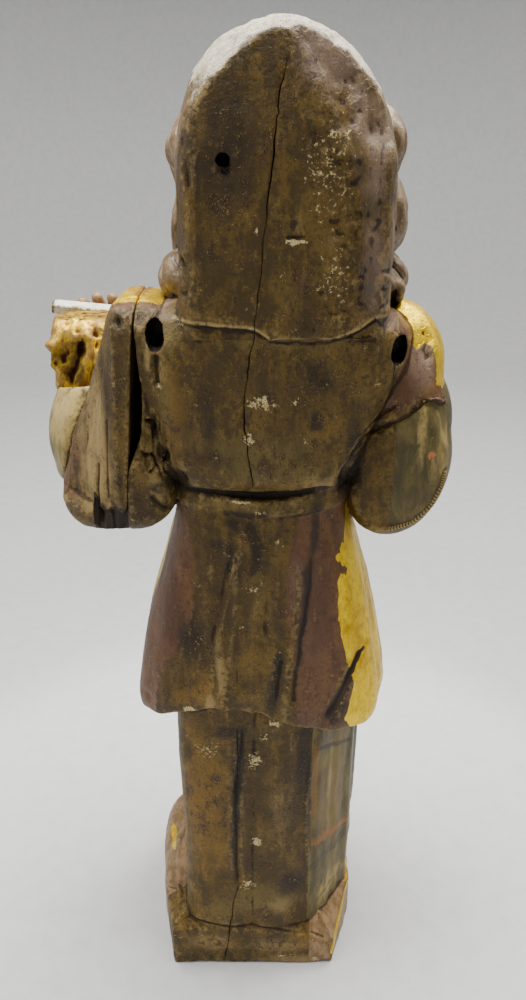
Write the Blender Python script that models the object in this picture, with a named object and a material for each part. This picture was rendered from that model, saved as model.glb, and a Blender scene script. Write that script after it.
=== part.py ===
"""Musician angel: a carved wooden figure with a flat sawn back, a glued-on left arm and a small lute.

Metres, +Z up. The figure looks along -Y, its own left hand is at +X, and the origin is the middle of
the plinth's underside. Every form is a closed surface worked out from a few named stations; the forms
of one block of wood are then joined by one Boolean union and the joints and sockets are cut out of it.
"""
import math

import bpy
import numpy as np
from mathutils import Matrix

# ---------------------------------------------------------------- driving dimensions
BACK_PLANE = 0.075          # the sawn back of the block
PLINTH_HEIGHT = 0.042
PLINTH_BACK_HALF = 0.0635   # half widths of the plinth outline, back, middle and front
PLINTH_SIDE_HALF = 0.080
PLINTH_FRONT_HALF = 0.046
PLINTH_FRONT = 0.089
PLINTH_BACK = 0.0712
PLINTH_CHIP = 0.021         # how far the top falls away at the back corner under the right side
WAIST_HEIGHT = 0.402
BELT_WIDTH = 0.0135
BELT_PROUD = 0.003
HEAD_CENTRE = (-0.021, 0.004, 0.597)
HEAD_TURN = math.radians(-7)
JOINT_TOP = (0.0629, 0.518)  # x and z where the glue joint of the left arm meets the shoulder
JOINT_LEAN = 0.0986          # how far the joint leans outwards for each metre downwards
JOINT_GAP = 0.0003
JOINT_OPENING = 0.0068       # widest gape of the dried-out joint
SOCKET_WIDTH = 0.0106
SOCKET_HEIGHT = 0.0176
SOCKET_DEPTH = 0.030
LEFT_SOCKET = (0.0512, 0.5060)
RIGHT_SOCKET = (-0.0838, 0.4968)
HEAD_HOLE = (0.0119, 0.5936)
HEAD_HOLE_WIDTH = 0.0078
HEAD_HOLE_DEPTH = 0.014
NECK_END = (0.1360, -0.0550, 0.4980)   # outer end of the lute's neck, where its pegbox broke off
NECK_ROOT = (0.0520, -0.0620, 0.4857)  # where the neck meets the lute's body
FIT_GAP = 0.0004                       # air left round the lute where it is held

WOOD = ("sawn_wood", (0.16, 0.115, 0.055), 0.62)
ARM_WOOD = ("arm_block_wood", (0.27, 0.205, 0.11), 0.6)
PALE_WOOD = ("lute_wood", (0.46, 0.40, 0.30), 0.5)

ALL_ROUND = 2 * math.pi


# ---------------------------------------------------------------- surfaces from stations
def smooth_rows(at, rows):
    """Rows of numbers keyed by their first value, read at each place by a smooth cubic through them."""
    rows = np.array(rows, float)
    keys = rows[:, 0]
    values = rows[:, 1:]
    slopes = np.gradient(values, keys, axis=0)
    at = np.clip(np.asarray(at, float), keys[0], keys[-1])
    i = np.clip(np.searchsorted(keys, at, side="right") - 1, 0, len(keys) - 2)
    span = (keys[i + 1] - keys[i])[:, None]
    t = ((at - keys[i]) / span[:, 0])[:, None]
    return (
        (2 * t**3 - 3 * t**2 + 1) * values[i]
        + (t**3 - 2 * t**2 + t) * span * slopes[i]
        + (3 * t**2 - 2 * t**3) * values[i + 1]
        + (t**3 - t**2) * span * slopes[i + 1]
    )


def ramp(value, low, high):
    """0 below low, 1 above high, and a smooth step between."""
    t = np.clip((value - low) / (high - low), 0, 1)
    return t * t * (3 - 2 * t)


def bump(distance, width):
    return np.exp(-((distance / width) ** 2))


def turned(angle):
    """An angle brought to the nearest half turn either side of zero."""
    return (angle + math.pi) % ALL_ROUND - math.pi


def rounded_polygon(angle, faces, crispness):
    """Radius at each angle of a polygon whose faces are (direction, distance) pairs, corners rounded."""
    total = 0
    for direction, distance in faces:
        facing = np.clip(np.cos(angle - direction), 0, None)
        total = total + (facing / distance) ** crispness
    return total ** (-1 / crispness)


def column(centre, stations, levels, segments, crispness=4.0, bevels=(), relief=None, lean=(0, 0)):
    """Rings of a standing form. A station is (height, left, right, back, front): the x of its left and
    right sides and the y of its back and front. A bevel is one more face: (direction, distance).
    relief(angle, height) is added to the radius. crispness may differ from level to level. The centre
    shifts by lean for each metre below the topmost level."""
    angle = np.arange(segments) * ALL_ROUND / segments
    crisp = np.broadcast_to(np.asarray(crispness, float), len(levels))
    top = max(levels)
    rings = []
    for (height, left, right, back, front), sharp in zip(
        np.column_stack([levels, smooth_rows(levels, stations)]), crisp
    ):
        middle = (centre[0] + lean[0] * (top - height), centre[1] + lean[1] * (top - height))
        faces = [
            (0.0, left - middle[0]),
            (math.pi / 2, back - middle[1]),
            (math.pi, middle[0] - right),
            (1.5 * math.pi, middle[1] - front),
            *bevels,
        ]
        radius = rounded_polygon(angle, faces, sharp)
        if relief is not None:
            radius = radius + relief(angle, np.full_like(angle, height))
        x = middle[0] + radius * np.cos(angle)
        y = middle[1] + radius * np.sin(angle)
        rings.append(np.column_stack([x, y, np.full_like(x, height)]))
    return np.array(rings)


def sweep(path, sizes, steps, segments, up=(0, 0, 1), crispness=2.0):
    """Rings of a form carried along a path. sizes holds (across, along up) half sizes for each point."""
    path = np.array(path, float)
    keys = np.linspace(0, 1, len(path))
    at = np.linspace(0, 1, steps)
    centre = smooth_rows(at, np.column_stack([keys, path]))
    size = smooth_rows(at, np.column_stack([keys, np.array(sizes, float)]))
    forward = np.gradient(centre, axis=0)
    forward /= np.linalg.norm(forward, axis=1)[:, None]
    across = np.cross(forward, np.array(up, float))
    across /= np.linalg.norm(across, axis=1)[:, None]
    above = np.cross(across, forward)
    angle = np.arange(segments) * ALL_ROUND / segments
    radius = rounded_polygon(angle, [(k * math.pi / 2, 1.0) for k in range(4)], crispness)
    wide = (radius * np.cos(angle))[None, :, None]
    tall = (radius * np.sin(angle))[None, :, None]
    return (
        centre[:, None, :]
        + wide * size[:, 0, None, None] * across[:, None, :]
        + tall * size[:, 1, None, None] * above[:, None, :]
    )


def egg(centre, radii, rings=8, segments=12, boxy=1.0):
    """Rings of an ellipsoid, pole to pole along Z. boxy under 1 squares its shoulders."""

    def squared(value):
        return np.sign(value) * np.abs(value) ** boxy

    rise = np.linspace(-math.pi / 2, math.pi / 2, rings + 2)[1:-1]
    angle = np.arange(segments) * ALL_ROUND / segments
    x = squared(np.cos(rise))[:, None] * squared(np.cos(angle)) * radii[0]
    y = squared(np.cos(rise))[:, None] * squared(np.sin(angle)) * radii[1]
    z = squared(np.sin(rise))[:, None] * np.ones_like(angle) * radii[2]
    return np.stack([x, y, z], axis=2) + np.array(centre)


# ---------------------------------------------------------------- meshes and Booleans
def finish(name, colour, roughness):
    material = bpy.data.materials.get(name) or bpy.data.materials.new(name)
    material.use_nodes = True
    shader = material.node_tree.nodes["Principled BSDF"]
    shader.inputs["Base Color"].default_value = (*colour, 1)
    shader.inputs["Roughness"].default_value = roughness
    shader.inputs["Metallic"].default_value = 0.0
    return material


def skin(name, rings, look=WOOD):
    """One closed object through the rings, each end closed by a fan to its middle."""
    count, segments = rings.shape[:2]
    ends = np.array([rings[0].mean(0), rings[-1].mean(0)])
    points = np.concatenate([rings.reshape(-1, 3), ends])
    first, last = count * segments, count * segments + 1
    faces = []
    for k in range(segments):
        n = (k + 1) % segments
        faces.append((first, n, k))
        top = (count - 1) * segments
        faces.append((last, top + k, top + n))
        for r in range(count - 1):
            a, b = r * segments, (r + 1) * segments
            faces.append((a + k, a + n, b + n))
            faces.append((a + k, b + n, b + k))
    mesh = bpy.data.meshes.new(name)
    mesh.from_pydata(points.tolist(), [], faces)
    corners = points[np.array(faces)]
    signed = np.linalg.det(corners).sum()
    if signed < 0:
        mesh.flip_normals()
    mesh.materials.append(finish(*look))
    mesh.shade_smooth()
    mesh.set_sharp_from_angle(angle=math.radians(40))
    obj = bpy.data.objects.new(name, mesh)
    bpy.context.scene.collection.objects.link(obj)
    return obj


def helper(obj):
    obj.hide_render = True
    obj.display_type = "WIRE"
    return obj


def boolean(target, others, operation):
    """One Boolean of the target with several objects, which become hidden helpers."""
    group = bpy.data.collections.new(f"{target.name}_{operation.lower()}")
    for obj in others:
        group.objects.link(helper(obj))
    step = target.modifiers.new(operation.title(), "BOOLEAN")
    step.operation = operation
    step.operand_type = "COLLECTION"
    step.collection = group
    step.solver = "EXACT"


# ---------------------------------------------------------------- the standing block: plinth, robe, tunic
def plinth():
    """A low block whose sides flare from the sawn back; its ground rises to a soft dome."""
    outline = np.array(
        [
            (PLINTH_BACK_HALF - 0.001, PLINTH_BACK),
            (-PLINTH_BACK_HALF, PLINTH_BACK),
            (-PLINTH_SIDE_HALF, 0.022),
            (-PLINTH_SIDE_HALF, -0.046),
            (-PLINTH_FRONT_HALF, -PLINTH_FRONT),
            (PLINTH_FRONT_HALF, -PLINTH_FRONT),
            (PLINTH_SIDE_HALF - 0.003, -0.046),
            (PLINTH_SIDE_HALF - 0.0055, 0.022),
        ]
    )
    corners = len(outline)
    per_side = 3
    share = np.arange(per_side)[None, :, None] / per_side
    following = np.roll(outline, -1, axis=0)
    ground = (outline[:, None] * (1 - share) + following[:, None] * share).reshape(corners * per_side, 2)
    chip = PLINTH_CHIP * ramp(-ground[:, 0], 0.02, 0.064) * ramp(ground[:, 1], 0.02, PLINTH_BACK)
    rings = [
        np.column_stack([ground, np.zeros(len(ground))]),
        np.column_stack([ground, PLINTH_HEIGHT - 0.003 - chip]),
        np.column_stack([ground * 0.975, PLINTH_HEIGHT - chip]),
        np.column_stack([ground * 0.8, PLINTH_HEIGHT + 0.008 - chip * 0.4]),
    ]
    return skin("plinth_form", np.array(rings))


ROBE_CENTRE = (-0.012, 0.010)
ROBE = [
    (0.020, 0.0535, -0.0810, 0.0705, -0.0620),
    (0.100, 0.0515, -0.0850, 0.0695, -0.0590),
    (0.200, 0.0530, -0.0870, 0.0685, -0.0580),
    (0.300, 0.0520, -0.0820, 0.0660, -0.0560),
]
ROBE_BEVELS = [
    (math.radians(141), 0.0610),   # the polished side face behind the right leg
    (math.radians(228), 0.0690),
    (math.radians(312), 0.0690),
]
ROBE_FOLDS = [  # angle at the bottom, angle at the top, width, depth
    (math.radians(76), math.radians(82), 0.10, -0.0060),
    (math.radians(121), math.radians(124), 0.05, 0.0015),
    (math.radians(158), math.radians(150), 0.10, -0.0030),
    (math.radians(205), math.radians(200), 0.12, -0.0050),
    (math.radians(235), math.radians(228), 0.12, 0.0040),
    (math.radians(262), math.radians(258), 0.10, -0.0060),
    (math.radians(290), math.radians(284), 0.11, 0.0040),
    (math.radians(316), math.radians(312), 0.10, -0.0060),
    (math.radians(343), math.radians(338), 0.11, 0.0030),
]


def robe_relief(angle, height):
    share = np.clip(height / 0.26, 0, 1)
    total = 0
    for low, high, width, depth in ROBE_FOLDS:
        total = total + depth * bump(turned(angle - low * (1 - share) - high * share), width)
    return total


def robe():
    levels = np.linspace(ROBE[0][0], ROBE[-1][0], 6)
    rings = column(ROBE_CENTRE, ROBE, levels, 44, 7.0, ROBE_BEVELS, robe_relief)
    return skin("angel_figure", rings)


def feet():
    """Two bare feet that show under the robe at the front."""
    made = []
    for side, turn in ((1, 0.3), (-1, -0.25)):
        x = -0.012 + side * 0.027
        path = [(x, -0.034, 0.062), (x + turn * 0.02, -0.058, 0.0575), (x + turn * 0.05, -0.079, 0.0530)]
        sizes = [(0.013, 0.014), (0.0140, 0.0105), (0.0095, 0.0052)]
        made.append(skin("foot_form", sweep(path, sizes, 6, 12)))
    return made


def robe_pool():
    """The robe spread over the ground at the left."""
    return skin("robe_pool_form", egg((0.0455, -0.002, 0.0455), (0.0295, 0.046, 0.0415), 7, 14, 0.75))


TUNIC_CENTRE = (-0.007, 0.012)
TUNIC = [  # share of the way down from the waist, then the sides
    (0.000, 0.0460, -0.0610, 0.0630, -0.0460),
    (0.130, 0.0480, -0.0640, 0.0655, -0.0500),
    (0.320, 0.0565, -0.0735, 0.0680, -0.0580),
    (0.580, 0.0678, -0.0842, 0.0705, -0.0680),
    (0.820, 0.0755, -0.0912, 0.0725, -0.0760),
    (0.960, 0.0785, -0.0935, 0.0732, -0.0800),
    (1.000, 0.0775, -0.0925, 0.0722, -0.0795),
]
TUNIC_FOLDS = [  # angle at the waist, angle at the hem, width, depth at the hem
    (math.radians(20), math.radians(24), 0.11, 0.0020),
    (math.radians(52), math.radians(50), 0.10, -0.0020),
    (math.radians(80), math.radians(68), 0.07, 0.0028),
    (math.radians(98), math.radians(88), 0.08, -0.0020),
    (math.radians(114), math.radians(108), 0.06, 0.0016),
    (math.radians(126), math.radians(120), 0.05, -0.0040),
    (math.radians(138), math.radians(131), 0.08, 0.0022),
    (math.radians(160), math.radians(157), 0.08, -0.0030),
    (math.radians(200), math.radians(198), 0.10, -0.0045),
    (math.radians(222), math.radians(218), 0.10, 0.0050),
    (math.radians(244), math.radians(240), 0.08, -0.0060),
    (math.radians(265), math.radians(263), 0.10, 0.0050),
    (math.radians(286), math.radians(288), 0.08, -0.0060),
    (math.radians(308), math.radians(312), 0.10, 0.0050),
    (math.radians(330), math.radians(335), 0.09, -0.0050),
]
HEM = [  # degrees round from the left side, height of the hem
    (0, 0.2380),
    (30, 0.2430),
    (52, 0.2530),
    (66, 0.2570),
    (80, 0.2550),
    (94, 0.2490),
    (110, 0.2430),
    (126, 0.2385),
    (138, 0.2375),
    (152, 0.2385),
    (180, 0.2370),
    (215, 0.2340),
    (240, 0.2260),
    (262, 0.2350),
    (288, 0.2250),
    (318, 0.2340),
    (345, 0.2320),
    (360, 0.2380),
]


def tunic_relief(angle, share):
    total = 0
    for high, low, width, depth in TUNIC_FOLDS:
        here = high * (1 - share) + low * share
        total = total + depth * bump(turned(angle - here), width)
    return total * ramp(share, 0.0, 0.75)


def tunic():
    """The skirt of the tunic: a flaring column whose last rings turn in under the hem."""
    share = np.array([0.0, 0.14, 0.32, 0.52, 0.72, 0.88, 0.965, 1.0])
    rings = column(TUNIC_CENTRE, TUNIC, share, 52, 3.8, [], tunic_relief)
    angle = np.arange(52) * ALL_ROUND / 52
    top = WAIST_HEIGHT + 0.004
    hem = smooth_rows(np.degrees(angle), HEM)[:, 0]
    rings[:, :, 2] = top + (hem[None, :] - top) * share[:, None]
    middle = np.array([*TUNIC_CENTRE, 0])
    under = middle + (rings[-1] - middle) * np.array([0.93, 0.93, 1.0]) + np.array([0, 0, 0.001])
    deep = middle + (under - middle) * np.array([0.45, 0.45, 1.0]) + np.array([0, 0, 0.012])
    return skin("tunic_form", np.concatenate([rings, [under, deep]]))


def belt():
    """A flat band tied round the waist, a little lower at the middle of the back."""
    angle = np.arange(30) * ALL_ROUND / 30
    ring = column(TUNIC_CENTRE, TUNIC, np.array([0.02]), 30, 3.6)[0]
    middle = np.array([*TUNIC_CENTRE, 0])
    lift = 0.006 * np.abs(np.cos(angle)) ** 1.5
    rings = []
    for height, proud in ((-0.5, 0.0), (-0.40, 1.0), (0.40, 1.0), (0.5, 0.0)):
        away = ring - middle
        away[:, 2] = 0
        length = np.linalg.norm(away, axis=1)[:, None]
        level = middle + away * (1 + (BELT_PROUD * proud - 0.0005) / length)
        level[:, 2] = WAIST_HEIGHT + lift + height * BELT_WIDTH
        rings.append(level)
    return skin("belt_form", np.array(rings))


TORSO_CENTRE = (-0.010, 0.014)
TORSO = [
    (0.396, 0.0440, -0.0590, 0.0600, -0.0440),
    (0.4105, 0.0450, -0.0600, 0.0630, -0.0470),
    (0.416, 0.0480, -0.0625, 0.0680, -0.0480),
    (0.440, 0.0570, -0.0710, 0.0712, -0.0500),
    (0.468, 0.0660, -0.0830, 0.0720, -0.0500),
    (0.492, 0.0700, -0.0930, 0.0722, -0.0450),
    (0.508, 0.0660, -0.0900, 0.0715, -0.0350),
    (0.518, 0.0480, -0.0740, 0.0650, -0.0210),
    (0.524, 0.0260, -0.0460, 0.0500, -0.0120),
]


def torso():
    levels = np.array([0.396, 0.4105, 0.417, 0.432, 0.450, 0.468, 0.486, 0.500, 0.511, 0.519, 0.524])
    return skin("torso_form", column(TORSO_CENTRE, TORSO, levels, 30, 4.6))


# ---------------------------------------------------------------- head and hair
FACE = [  # height above the head's centre, half width, front of the profile
    (-0.058, 0.0120, 0.0400),
    (-0.055, 0.0175, 0.0535),
    (-0.048, 0.0245, 0.0585),
    (-0.034, 0.0320, 0.0592),
    (-0.020, 0.0375, 0.0590),
    (-0.004, 0.0395, 0.0580),
    (0.008, 0.0400, 0.0590),
    (0.024, 0.0390, 0.0600),
    (0.040, 0.0340, 0.0540),
    (0.050, 0.0250, 0.0420),
    (0.056, 0.0120, 0.0240),
]
FACE_LEVELS = [
    -0.0565, -0.0535, -0.0495, -0.0455, -0.0420, -0.0385, -0.0355, -0.0320, -0.0285, -0.0245, -0.0200,
    -0.0140, -0.0080, -0.0030, 0.0015, 0.0060, 0.0115, 0.0190, 0.0300, 0.0420, 0.0520,
]
FEATURES = [  # sideways, height, width, tall, outwards: both sides unless sideways is 0
    (0.0, -0.0190, 0.0062, 0.0060, 0.0080),   # tip of the nose
    (0.0, -0.0060, 0.0048, 0.0110, 0.0045),   # bridge
    (0.0062, -0.0215, 0.0038, 0.0038, 0.0030),  # wings of the nose
    (0.0, -0.0330, 0.0105, 0.0024, 0.0026),   # upper lip
    (0.0, -0.0385, 0.0090, 0.0026, 0.0026),   # lower lip
    (0.0, -0.0440, 0.0100, 0.0030, -0.0018),  # hollow under the lip
    (0.0, -0.0510, 0.0100, 0.0050, 0.0030),   # chin
    (0.0165, 0.0005, 0.0095, 0.0060, -0.0045),  # eye sockets
    (0.0165, -0.0005, 0.0066, 0.0046, 0.0036),  # lids
    (0.0170, 0.0105, 0.0110, 0.0036, 0.0018),  # brows
    (0.0220, -0.0200, 0.0120, 0.0120, 0.0022),  # cheeks
]


def head():
    """An egg of a head with calm, regular features laid over its front."""
    rise = np.array(FACE_LEVELS)
    rows = smooth_rows(rise, FACE)
    even = np.arange(26) * ALL_ROUND / 26
    angle = even - 0.45 * np.cos(even)   # closer together towards the face
    rings = []
    for height, (half, front) in zip(rise, rows):
        faces = [(0, half), (math.pi, half), (math.pi / 2, 0.045), (1.5 * math.pi, front)]
        radius = rounded_polygon(angle, faces, 2.3)
        x, y = radius * np.cos(angle), radius * np.sin(angle)
        facing = np.where(y < 0, ramp(-np.sin(angle), 0.25, 0.6), 0)
        for side, up, wide, tall, out in FEATURES:
            both = bump(np.abs(x) - side, wide) if side else bump(x, wide)
            y = y - out * both * bump(height - up, tall) * facing
        rings.append(np.column_stack([x, y, np.full_like(x, height)]))
    rings = np.array(rings)
    turn = np.array(Matrix.Rotation(HEAD_TURN, 3, "Z"))
    return skin("head_form", rings @ turn.T + np.array(HEAD_CENTRE))


def neck():
    path = [(-0.016, 0.008, 0.500), (-0.018, 0.004, 0.525), (-0.020, 0.000, 0.560)]
    sizes = [(0.030, 0.027), (0.0235, 0.022), (0.023, 0.022)]
    return skin("neck_form", sweep(path, sizes, 4, 14, up=(0, -1, 0)))


HAIR_CENTRE = (-0.019, 0.017)
HAIR = [  # height, left, right, back, front; then how square the section is
    (0.500, 0.0410, -0.0765, 0.0728, -0.0100, 5.0),
    (0.540, 0.0375, -0.0775, 0.0738, -0.0220, 5.0),
    (0.575, 0.0370, -0.0775, 0.0745, -0.0300, 4.6),
    (0.600, 0.0370, -0.0755, 0.0745, -0.0370, 4.2),
    (0.620, 0.0330, -0.0700, 0.0733, -0.0460, 3.6),
    (0.635, 0.0275, -0.0630, 0.0712, -0.0500, 3.0),
    (0.6445, 0.0205, -0.0550, 0.0680, -0.0475, 2.4),
    (0.6515, 0.0110, -0.0460, 0.0620, -0.0390, 2.1),
    (0.6570, -0.0030, -0.0360, 0.0470, -0.0270, 2.0),
    (0.6600, -0.0110, -0.0280, 0.0300, -0.0060, 2.0),
]
CURLS = [  # centre and half sizes of the large curls: right side, left side, then the two front locks
    ((-0.0720, 0.014, 0.601), (0.0138, 0.0240, 0.0175)),
    ((-0.0745, 0.014, 0.563), (0.0155, 0.0260, 0.0225)),
    ((-0.0785, 0.010, 0.527), (0.0150, 0.0240, 0.0150)),
    ((0.0330, 0.014, 0.598), (0.0128, 0.0220, 0.0115)),
    ((0.0385, 0.012, 0.530), (0.0150, 0.0230, 0.0140)),
    ((-0.0630, -0.022, 0.606), (0.0140, 0.0190, 0.0200)),
    ((-0.0660, -0.026, 0.573), (0.0145, 0.0180, 0.0190)),
    ((-0.0630, -0.026, 0.540), (0.0150, 0.0170, 0.0180)),
    ((0.0220, -0.022, 0.606), (0.0140, 0.0190, 0.0200)),
    ((0.0250, -0.026, 0.573), (0.0145, 0.0180, 0.0190)),
    ((0.0230, -0.026, 0.540), (0.0150, 0.0170, 0.0180)),
]


def hair():
    levels = np.array([0.506, 0.526, 0.546, 0.566, 0.586, 0.604, 0.620, 0.635, 0.6445, 0.6515, 0.657, 0.66])
    square = smooth_rows(levels, HAIR)[:, 4]
    sides = [row[:5] for row in HAIR]
    made = [skin("hair_form", column(HAIR_CENTRE, sides, levels, 32, square))]
    for centre, radii in CURLS:
        made.append(skin("curl_form", egg(centre, radii, 5, 10)))
    return made


# ---------------------------------------------------------------- arms
def right_shoulder():
    path = [(-0.076, 0.020, 0.505), (-0.0895, 0.019, 0.490), (-0.0925, 0.022, 0.468), (-0.0980, 0.026, 0.452)]
    sizes = [(0.018, 0.013), (0.0255, 0.0260), (0.0245, 0.0300), (0.0245, 0.0310)]
    return skin("right_shoulder_form", sweep(path, sizes, 8, 18, up=(0, -1, 0), crispness=2.5))


RIGHT_SLEEVE = [  # distance forward from the elbow, half width, half height
    (0.0000, 0.0080, 0.0120),
    (0.0050, 0.0200, 0.0300),
    (0.0150, 0.0290, 0.0425),
    (0.0320, 0.0352, 0.0490),
    (0.0480, 0.0372, 0.0510),
    (0.0620, 0.0375, 0.0510),
    (0.0740, 0.0360, 0.0485),
]


def bell_sleeve(name, stations, elbow, forward, up, segments=18):
    """A wide sleeve from the elbow to its open mouth, its rim turned back into a shallow hollow."""
    forward = np.array(forward, float) / np.linalg.norm(forward)
    across = np.cross(forward, np.array(up, float))
    across /= np.linalg.norm(across)
    above = np.cross(across, forward)
    angle = np.arange(segments) * ALL_ROUND / segments
    rows = [tuple(row) for row in stations]
    mouth = rows[-1]
    rows.append((mouth[0] + 0.001, mouth[1] * 0.90, mouth[2] * 0.90))
    rows.append((mouth[0] - 0.008, mouth[1] * 0.80, mouth[2] * 0.82))
    rings = []
    for along, wide, tall in rows:
        centre = np.array(elbow) + along * forward
        ring = centre + np.cos(angle)[:, None] * wide * across + np.sin(angle)[:, None] * tall * above
        rings.append(ring)
    return skin(name, np.array(rings))


def palm(name, wrist, knuckles, thin, half=(0.0100, 0.0165), deep=(0.0085, 0.0070)):
    """A palm between wrist and knuckles; thin is the direction of its thickness."""
    path = [wrist, tuple((np.array(wrist) + np.array(knuckles)) / 2), knuckles]
    sizes = [(half[0], deep[0]), ((half[0] + half[1]) / 2, deep[0]), (half[1], deep[1])]
    return skin(name, sweep(path, sizes, 5, 12, up=thin, crispness=2.6))


def finger(name, points, up, thick=0.0044):
    sizes = [(thick, thick)] * (len(points) - 1) + [(thick * 0.75, thick * 0.75)]
    return skin(name, sweep(points, sizes, 5, 6, up=up))


def right_arm():
    """Wide sleeve, forearm and a hand whose fingers rest on the lute's belly."""
    sleeve = bell_sleeve(
        "right_sleeve_form", RIGHT_SLEEVE, (-0.0905, 0.0590, 0.4180), (-0.02, -1, 0.0), (-0.16, 0, 1)
    )
    elbow, wrist = (-0.090, 0.004, 0.414), (-0.067, -0.0725, 0.444)
    path = [elbow, (-0.088, -0.028, 0.419), (-0.080, -0.052, 0.431), wrist]
    sizes = [(0.021, 0.023), (0.0175, 0.0190), (0.0130, 0.0145), (0.0090, 0.0100)]
    made = [sleeve, skin("right_forearm_form", sweep(path, sizes, 7, 13))]
    made.append(palm("right_palm_form", (-0.070, -0.0695, 0.442), (-0.046, -0.0875, 0.455), (0.5, -1, 0.2)))
    for k in range(4):
        rise = 0.0085 * (1.5 - k)
        bent = 0.002 * abs(k - 1.5)
        made.append(
            finger(
                "right_finger_form",
                [
                    (-0.051, -0.0840, 0.4535 + rise),
                    (-0.037, -0.0915, 0.4590 + rise * 1.05),
                    (-0.026, -0.0895, 0.4620 + rise * 1.10),
                    (-0.0195 - bent, -0.0795, 0.4630 + rise * 1.15),
                ],
                (0, 0, 1),
            )
        )
    return made


ARM_CENTRE = (0.0660, 0.022)
ARM_LEAN = (0.17, 0)
ARM = [  # the flat-backed upper arm, from the elbow up to the shoulder
    (0.3770, 0.0980, 0.0640, 0.0440, 0.0080),
    (0.3830, 0.1160, 0.0560, 0.0530, 0.0000),
    (0.3970, 0.1240, 0.0455, 0.0580, -0.0060),
    (0.4080, 0.1220, 0.0445, 0.0600, -0.0080),
    (0.4310, 0.1140, 0.0490, 0.0615, -0.0100),
    (0.4480, 0.1055, 0.0530, 0.0625, -0.0110),
    (0.4670, 0.0970, 0.0545, 0.0640, -0.0120),
    (0.4780, 0.0932, 0.0540, 0.0645, -0.0120),
    (0.5000, 0.0850, 0.0480, 0.0650, -0.0110),
    (0.5120, 0.0812, 0.0460, 0.0620, -0.0080),
    (0.5200, 0.0755, 0.0520, 0.0500, 0.0000),
    (0.5225, 0.0715, 0.0580, 0.0380, 0.0080),
]
ARM_BEVELS = [(math.radians(42), 0.0345)]


def upper_arm(name):
    """The upper arm and elbow, which the glue joint runs through."""
    levels = np.array([0.377, 0.383, 0.391, 0.402, 0.425, 0.448, 0.470, 0.490, 0.504, 0.514, 0.520, 0.5225])
    rings = column(ARM_CENTRE, ARM, levels, 20, 5.0, ARM_BEVELS, lean=ARM_LEAN)
    return skin(name, rings, ARM_WOOD)


def joint_x(height):
    return JOINT_TOP[0] + JOINT_LEAN * (JOINT_TOP[1] - height)


def joint_block(name, outer, gaping):
    """A cutter on one side of the glue joint. The log's side gapes: open at the back, shut at the front."""
    heights = np.array([0.366, 0.405, 0.421, 0.432, 0.445, 0.462, 0.480, 0.500, 0.512, 0.540])
    depths = np.array([-0.11, -0.015, 0.02, 0.05, 0.10])
    rings = []
    for height in heights:
        opened = ramp(height, 0.419, 0.450) * (1 - ramp(height, 0.462, 0.518))
        gap = JOINT_OPENING * opened * ramp(depths, -0.015, 0.05) if gaping else 0 * depths
        near = joint_x(height) - gap - (JOINT_GAP if gaping else 0)
        inner = np.column_stack([near, depths, np.full_like(depths, height)])
        far = inner[::-1].copy()
        far[:, 0] = outer
        rings.append(np.concatenate([inner, far]))
    return skin(name, np.array(rings))


LEFT_SLEEVE = [
    (0.0000, 0.0080, 0.0080),
    (0.0080, 0.0220, 0.0240),
    (0.0220, 0.0285, 0.0330),
    (0.0400, 0.0305, 0.0360),
    (0.0560, 0.0280, 0.0340),
    (0.0700, 0.0215, 0.0280),
]
CUFF = [
    (0.4320, 0.1240, 0.0950, -0.0110, -0.0450),
    (0.4560, 0.1300, 0.0890, -0.0070, -0.0490),
    (0.4720, 0.1312, 0.0860, -0.0070, -0.0510),
    (0.4850, 0.1300, 0.0880, -0.0120, -0.0510),
    (0.4925, 0.1265, 0.0905, -0.0180, -0.0490),
]


def left_forearm():
    """The full sleeve round the raised forearm, the crumpled cuff above it, and the hand."""
    sleeve = bell_sleeve(
        "left_sleeve_form", LEFT_SLEEVE, (0.1023, -0.0013, 0.3846), (0.06, -0.26, 1.0), (0, 1, 0), 20
    )
    levels = np.array([0.432, 0.450, 0.466, 0.478, 0.487, 0.4925])
    cuff = skin("left_cuff_form", column((0.1090, -0.030), CUFF, levels, 20, 4.5), ARM_WOOD)
    made = [sleeve, cuff]
    wrist, knuckles = (0.107, -0.042, 0.466), (0.1035, -0.0660, 0.4860)
    made.append(palm("left_palm_form", wrist, knuckles, (0, -1, -0.8), (0.014, 0.019)))
    for k in range(4):
        x = 0.1190 - 0.0107 * k
        tip = (0.4975, 0.5015, 0.5010, 0.4960)[k]
        made.append(
            finger(
                "left_finger_form",
                [
                    (x - 0.0005, -0.0630, 0.4810),
                    (x - 0.0008, -0.0725, 0.4870),
                    (x - 0.0006, -0.0745, 0.4945),
                    (x, -0.0695, tip),
                ],
                (1, 0, 0),
            )
        )
    return made


# ---------------------------------------------------------------- the lute
BODY_LENGTH = 0.094
BODY_HALF_WIDTH = 0.0310
BOWL_DEPTH = 0.0200
PEAR = [  # share of the body's length from the neck, half width and bowl depth as shares of the largest
    (0.00, 0.24, 0.34),
    (0.10, 0.36, 0.48),
    (0.25, 0.60, 0.72),
    (0.42, 0.85, 0.92),
    (0.60, 0.99, 1.00),
    (0.72, 0.98, 0.98),
    (0.84, 0.84, 0.86),
    (0.94, 0.56, 0.60),
    (1.00, 0.20, 0.26),
]


def lute_axes():
    """Unit vectors along the neck towards the left hand, across the belly, and out of the belly."""
    along = np.array(NECK_END) - np.array(NECK_ROOT)
    along /= np.linalg.norm(along)
    out = np.array((0.15, -1.0, 0.28))
    out -= out.dot(along) * along
    out /= np.linalg.norm(out)
    return along, np.cross(out, along), out


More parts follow.
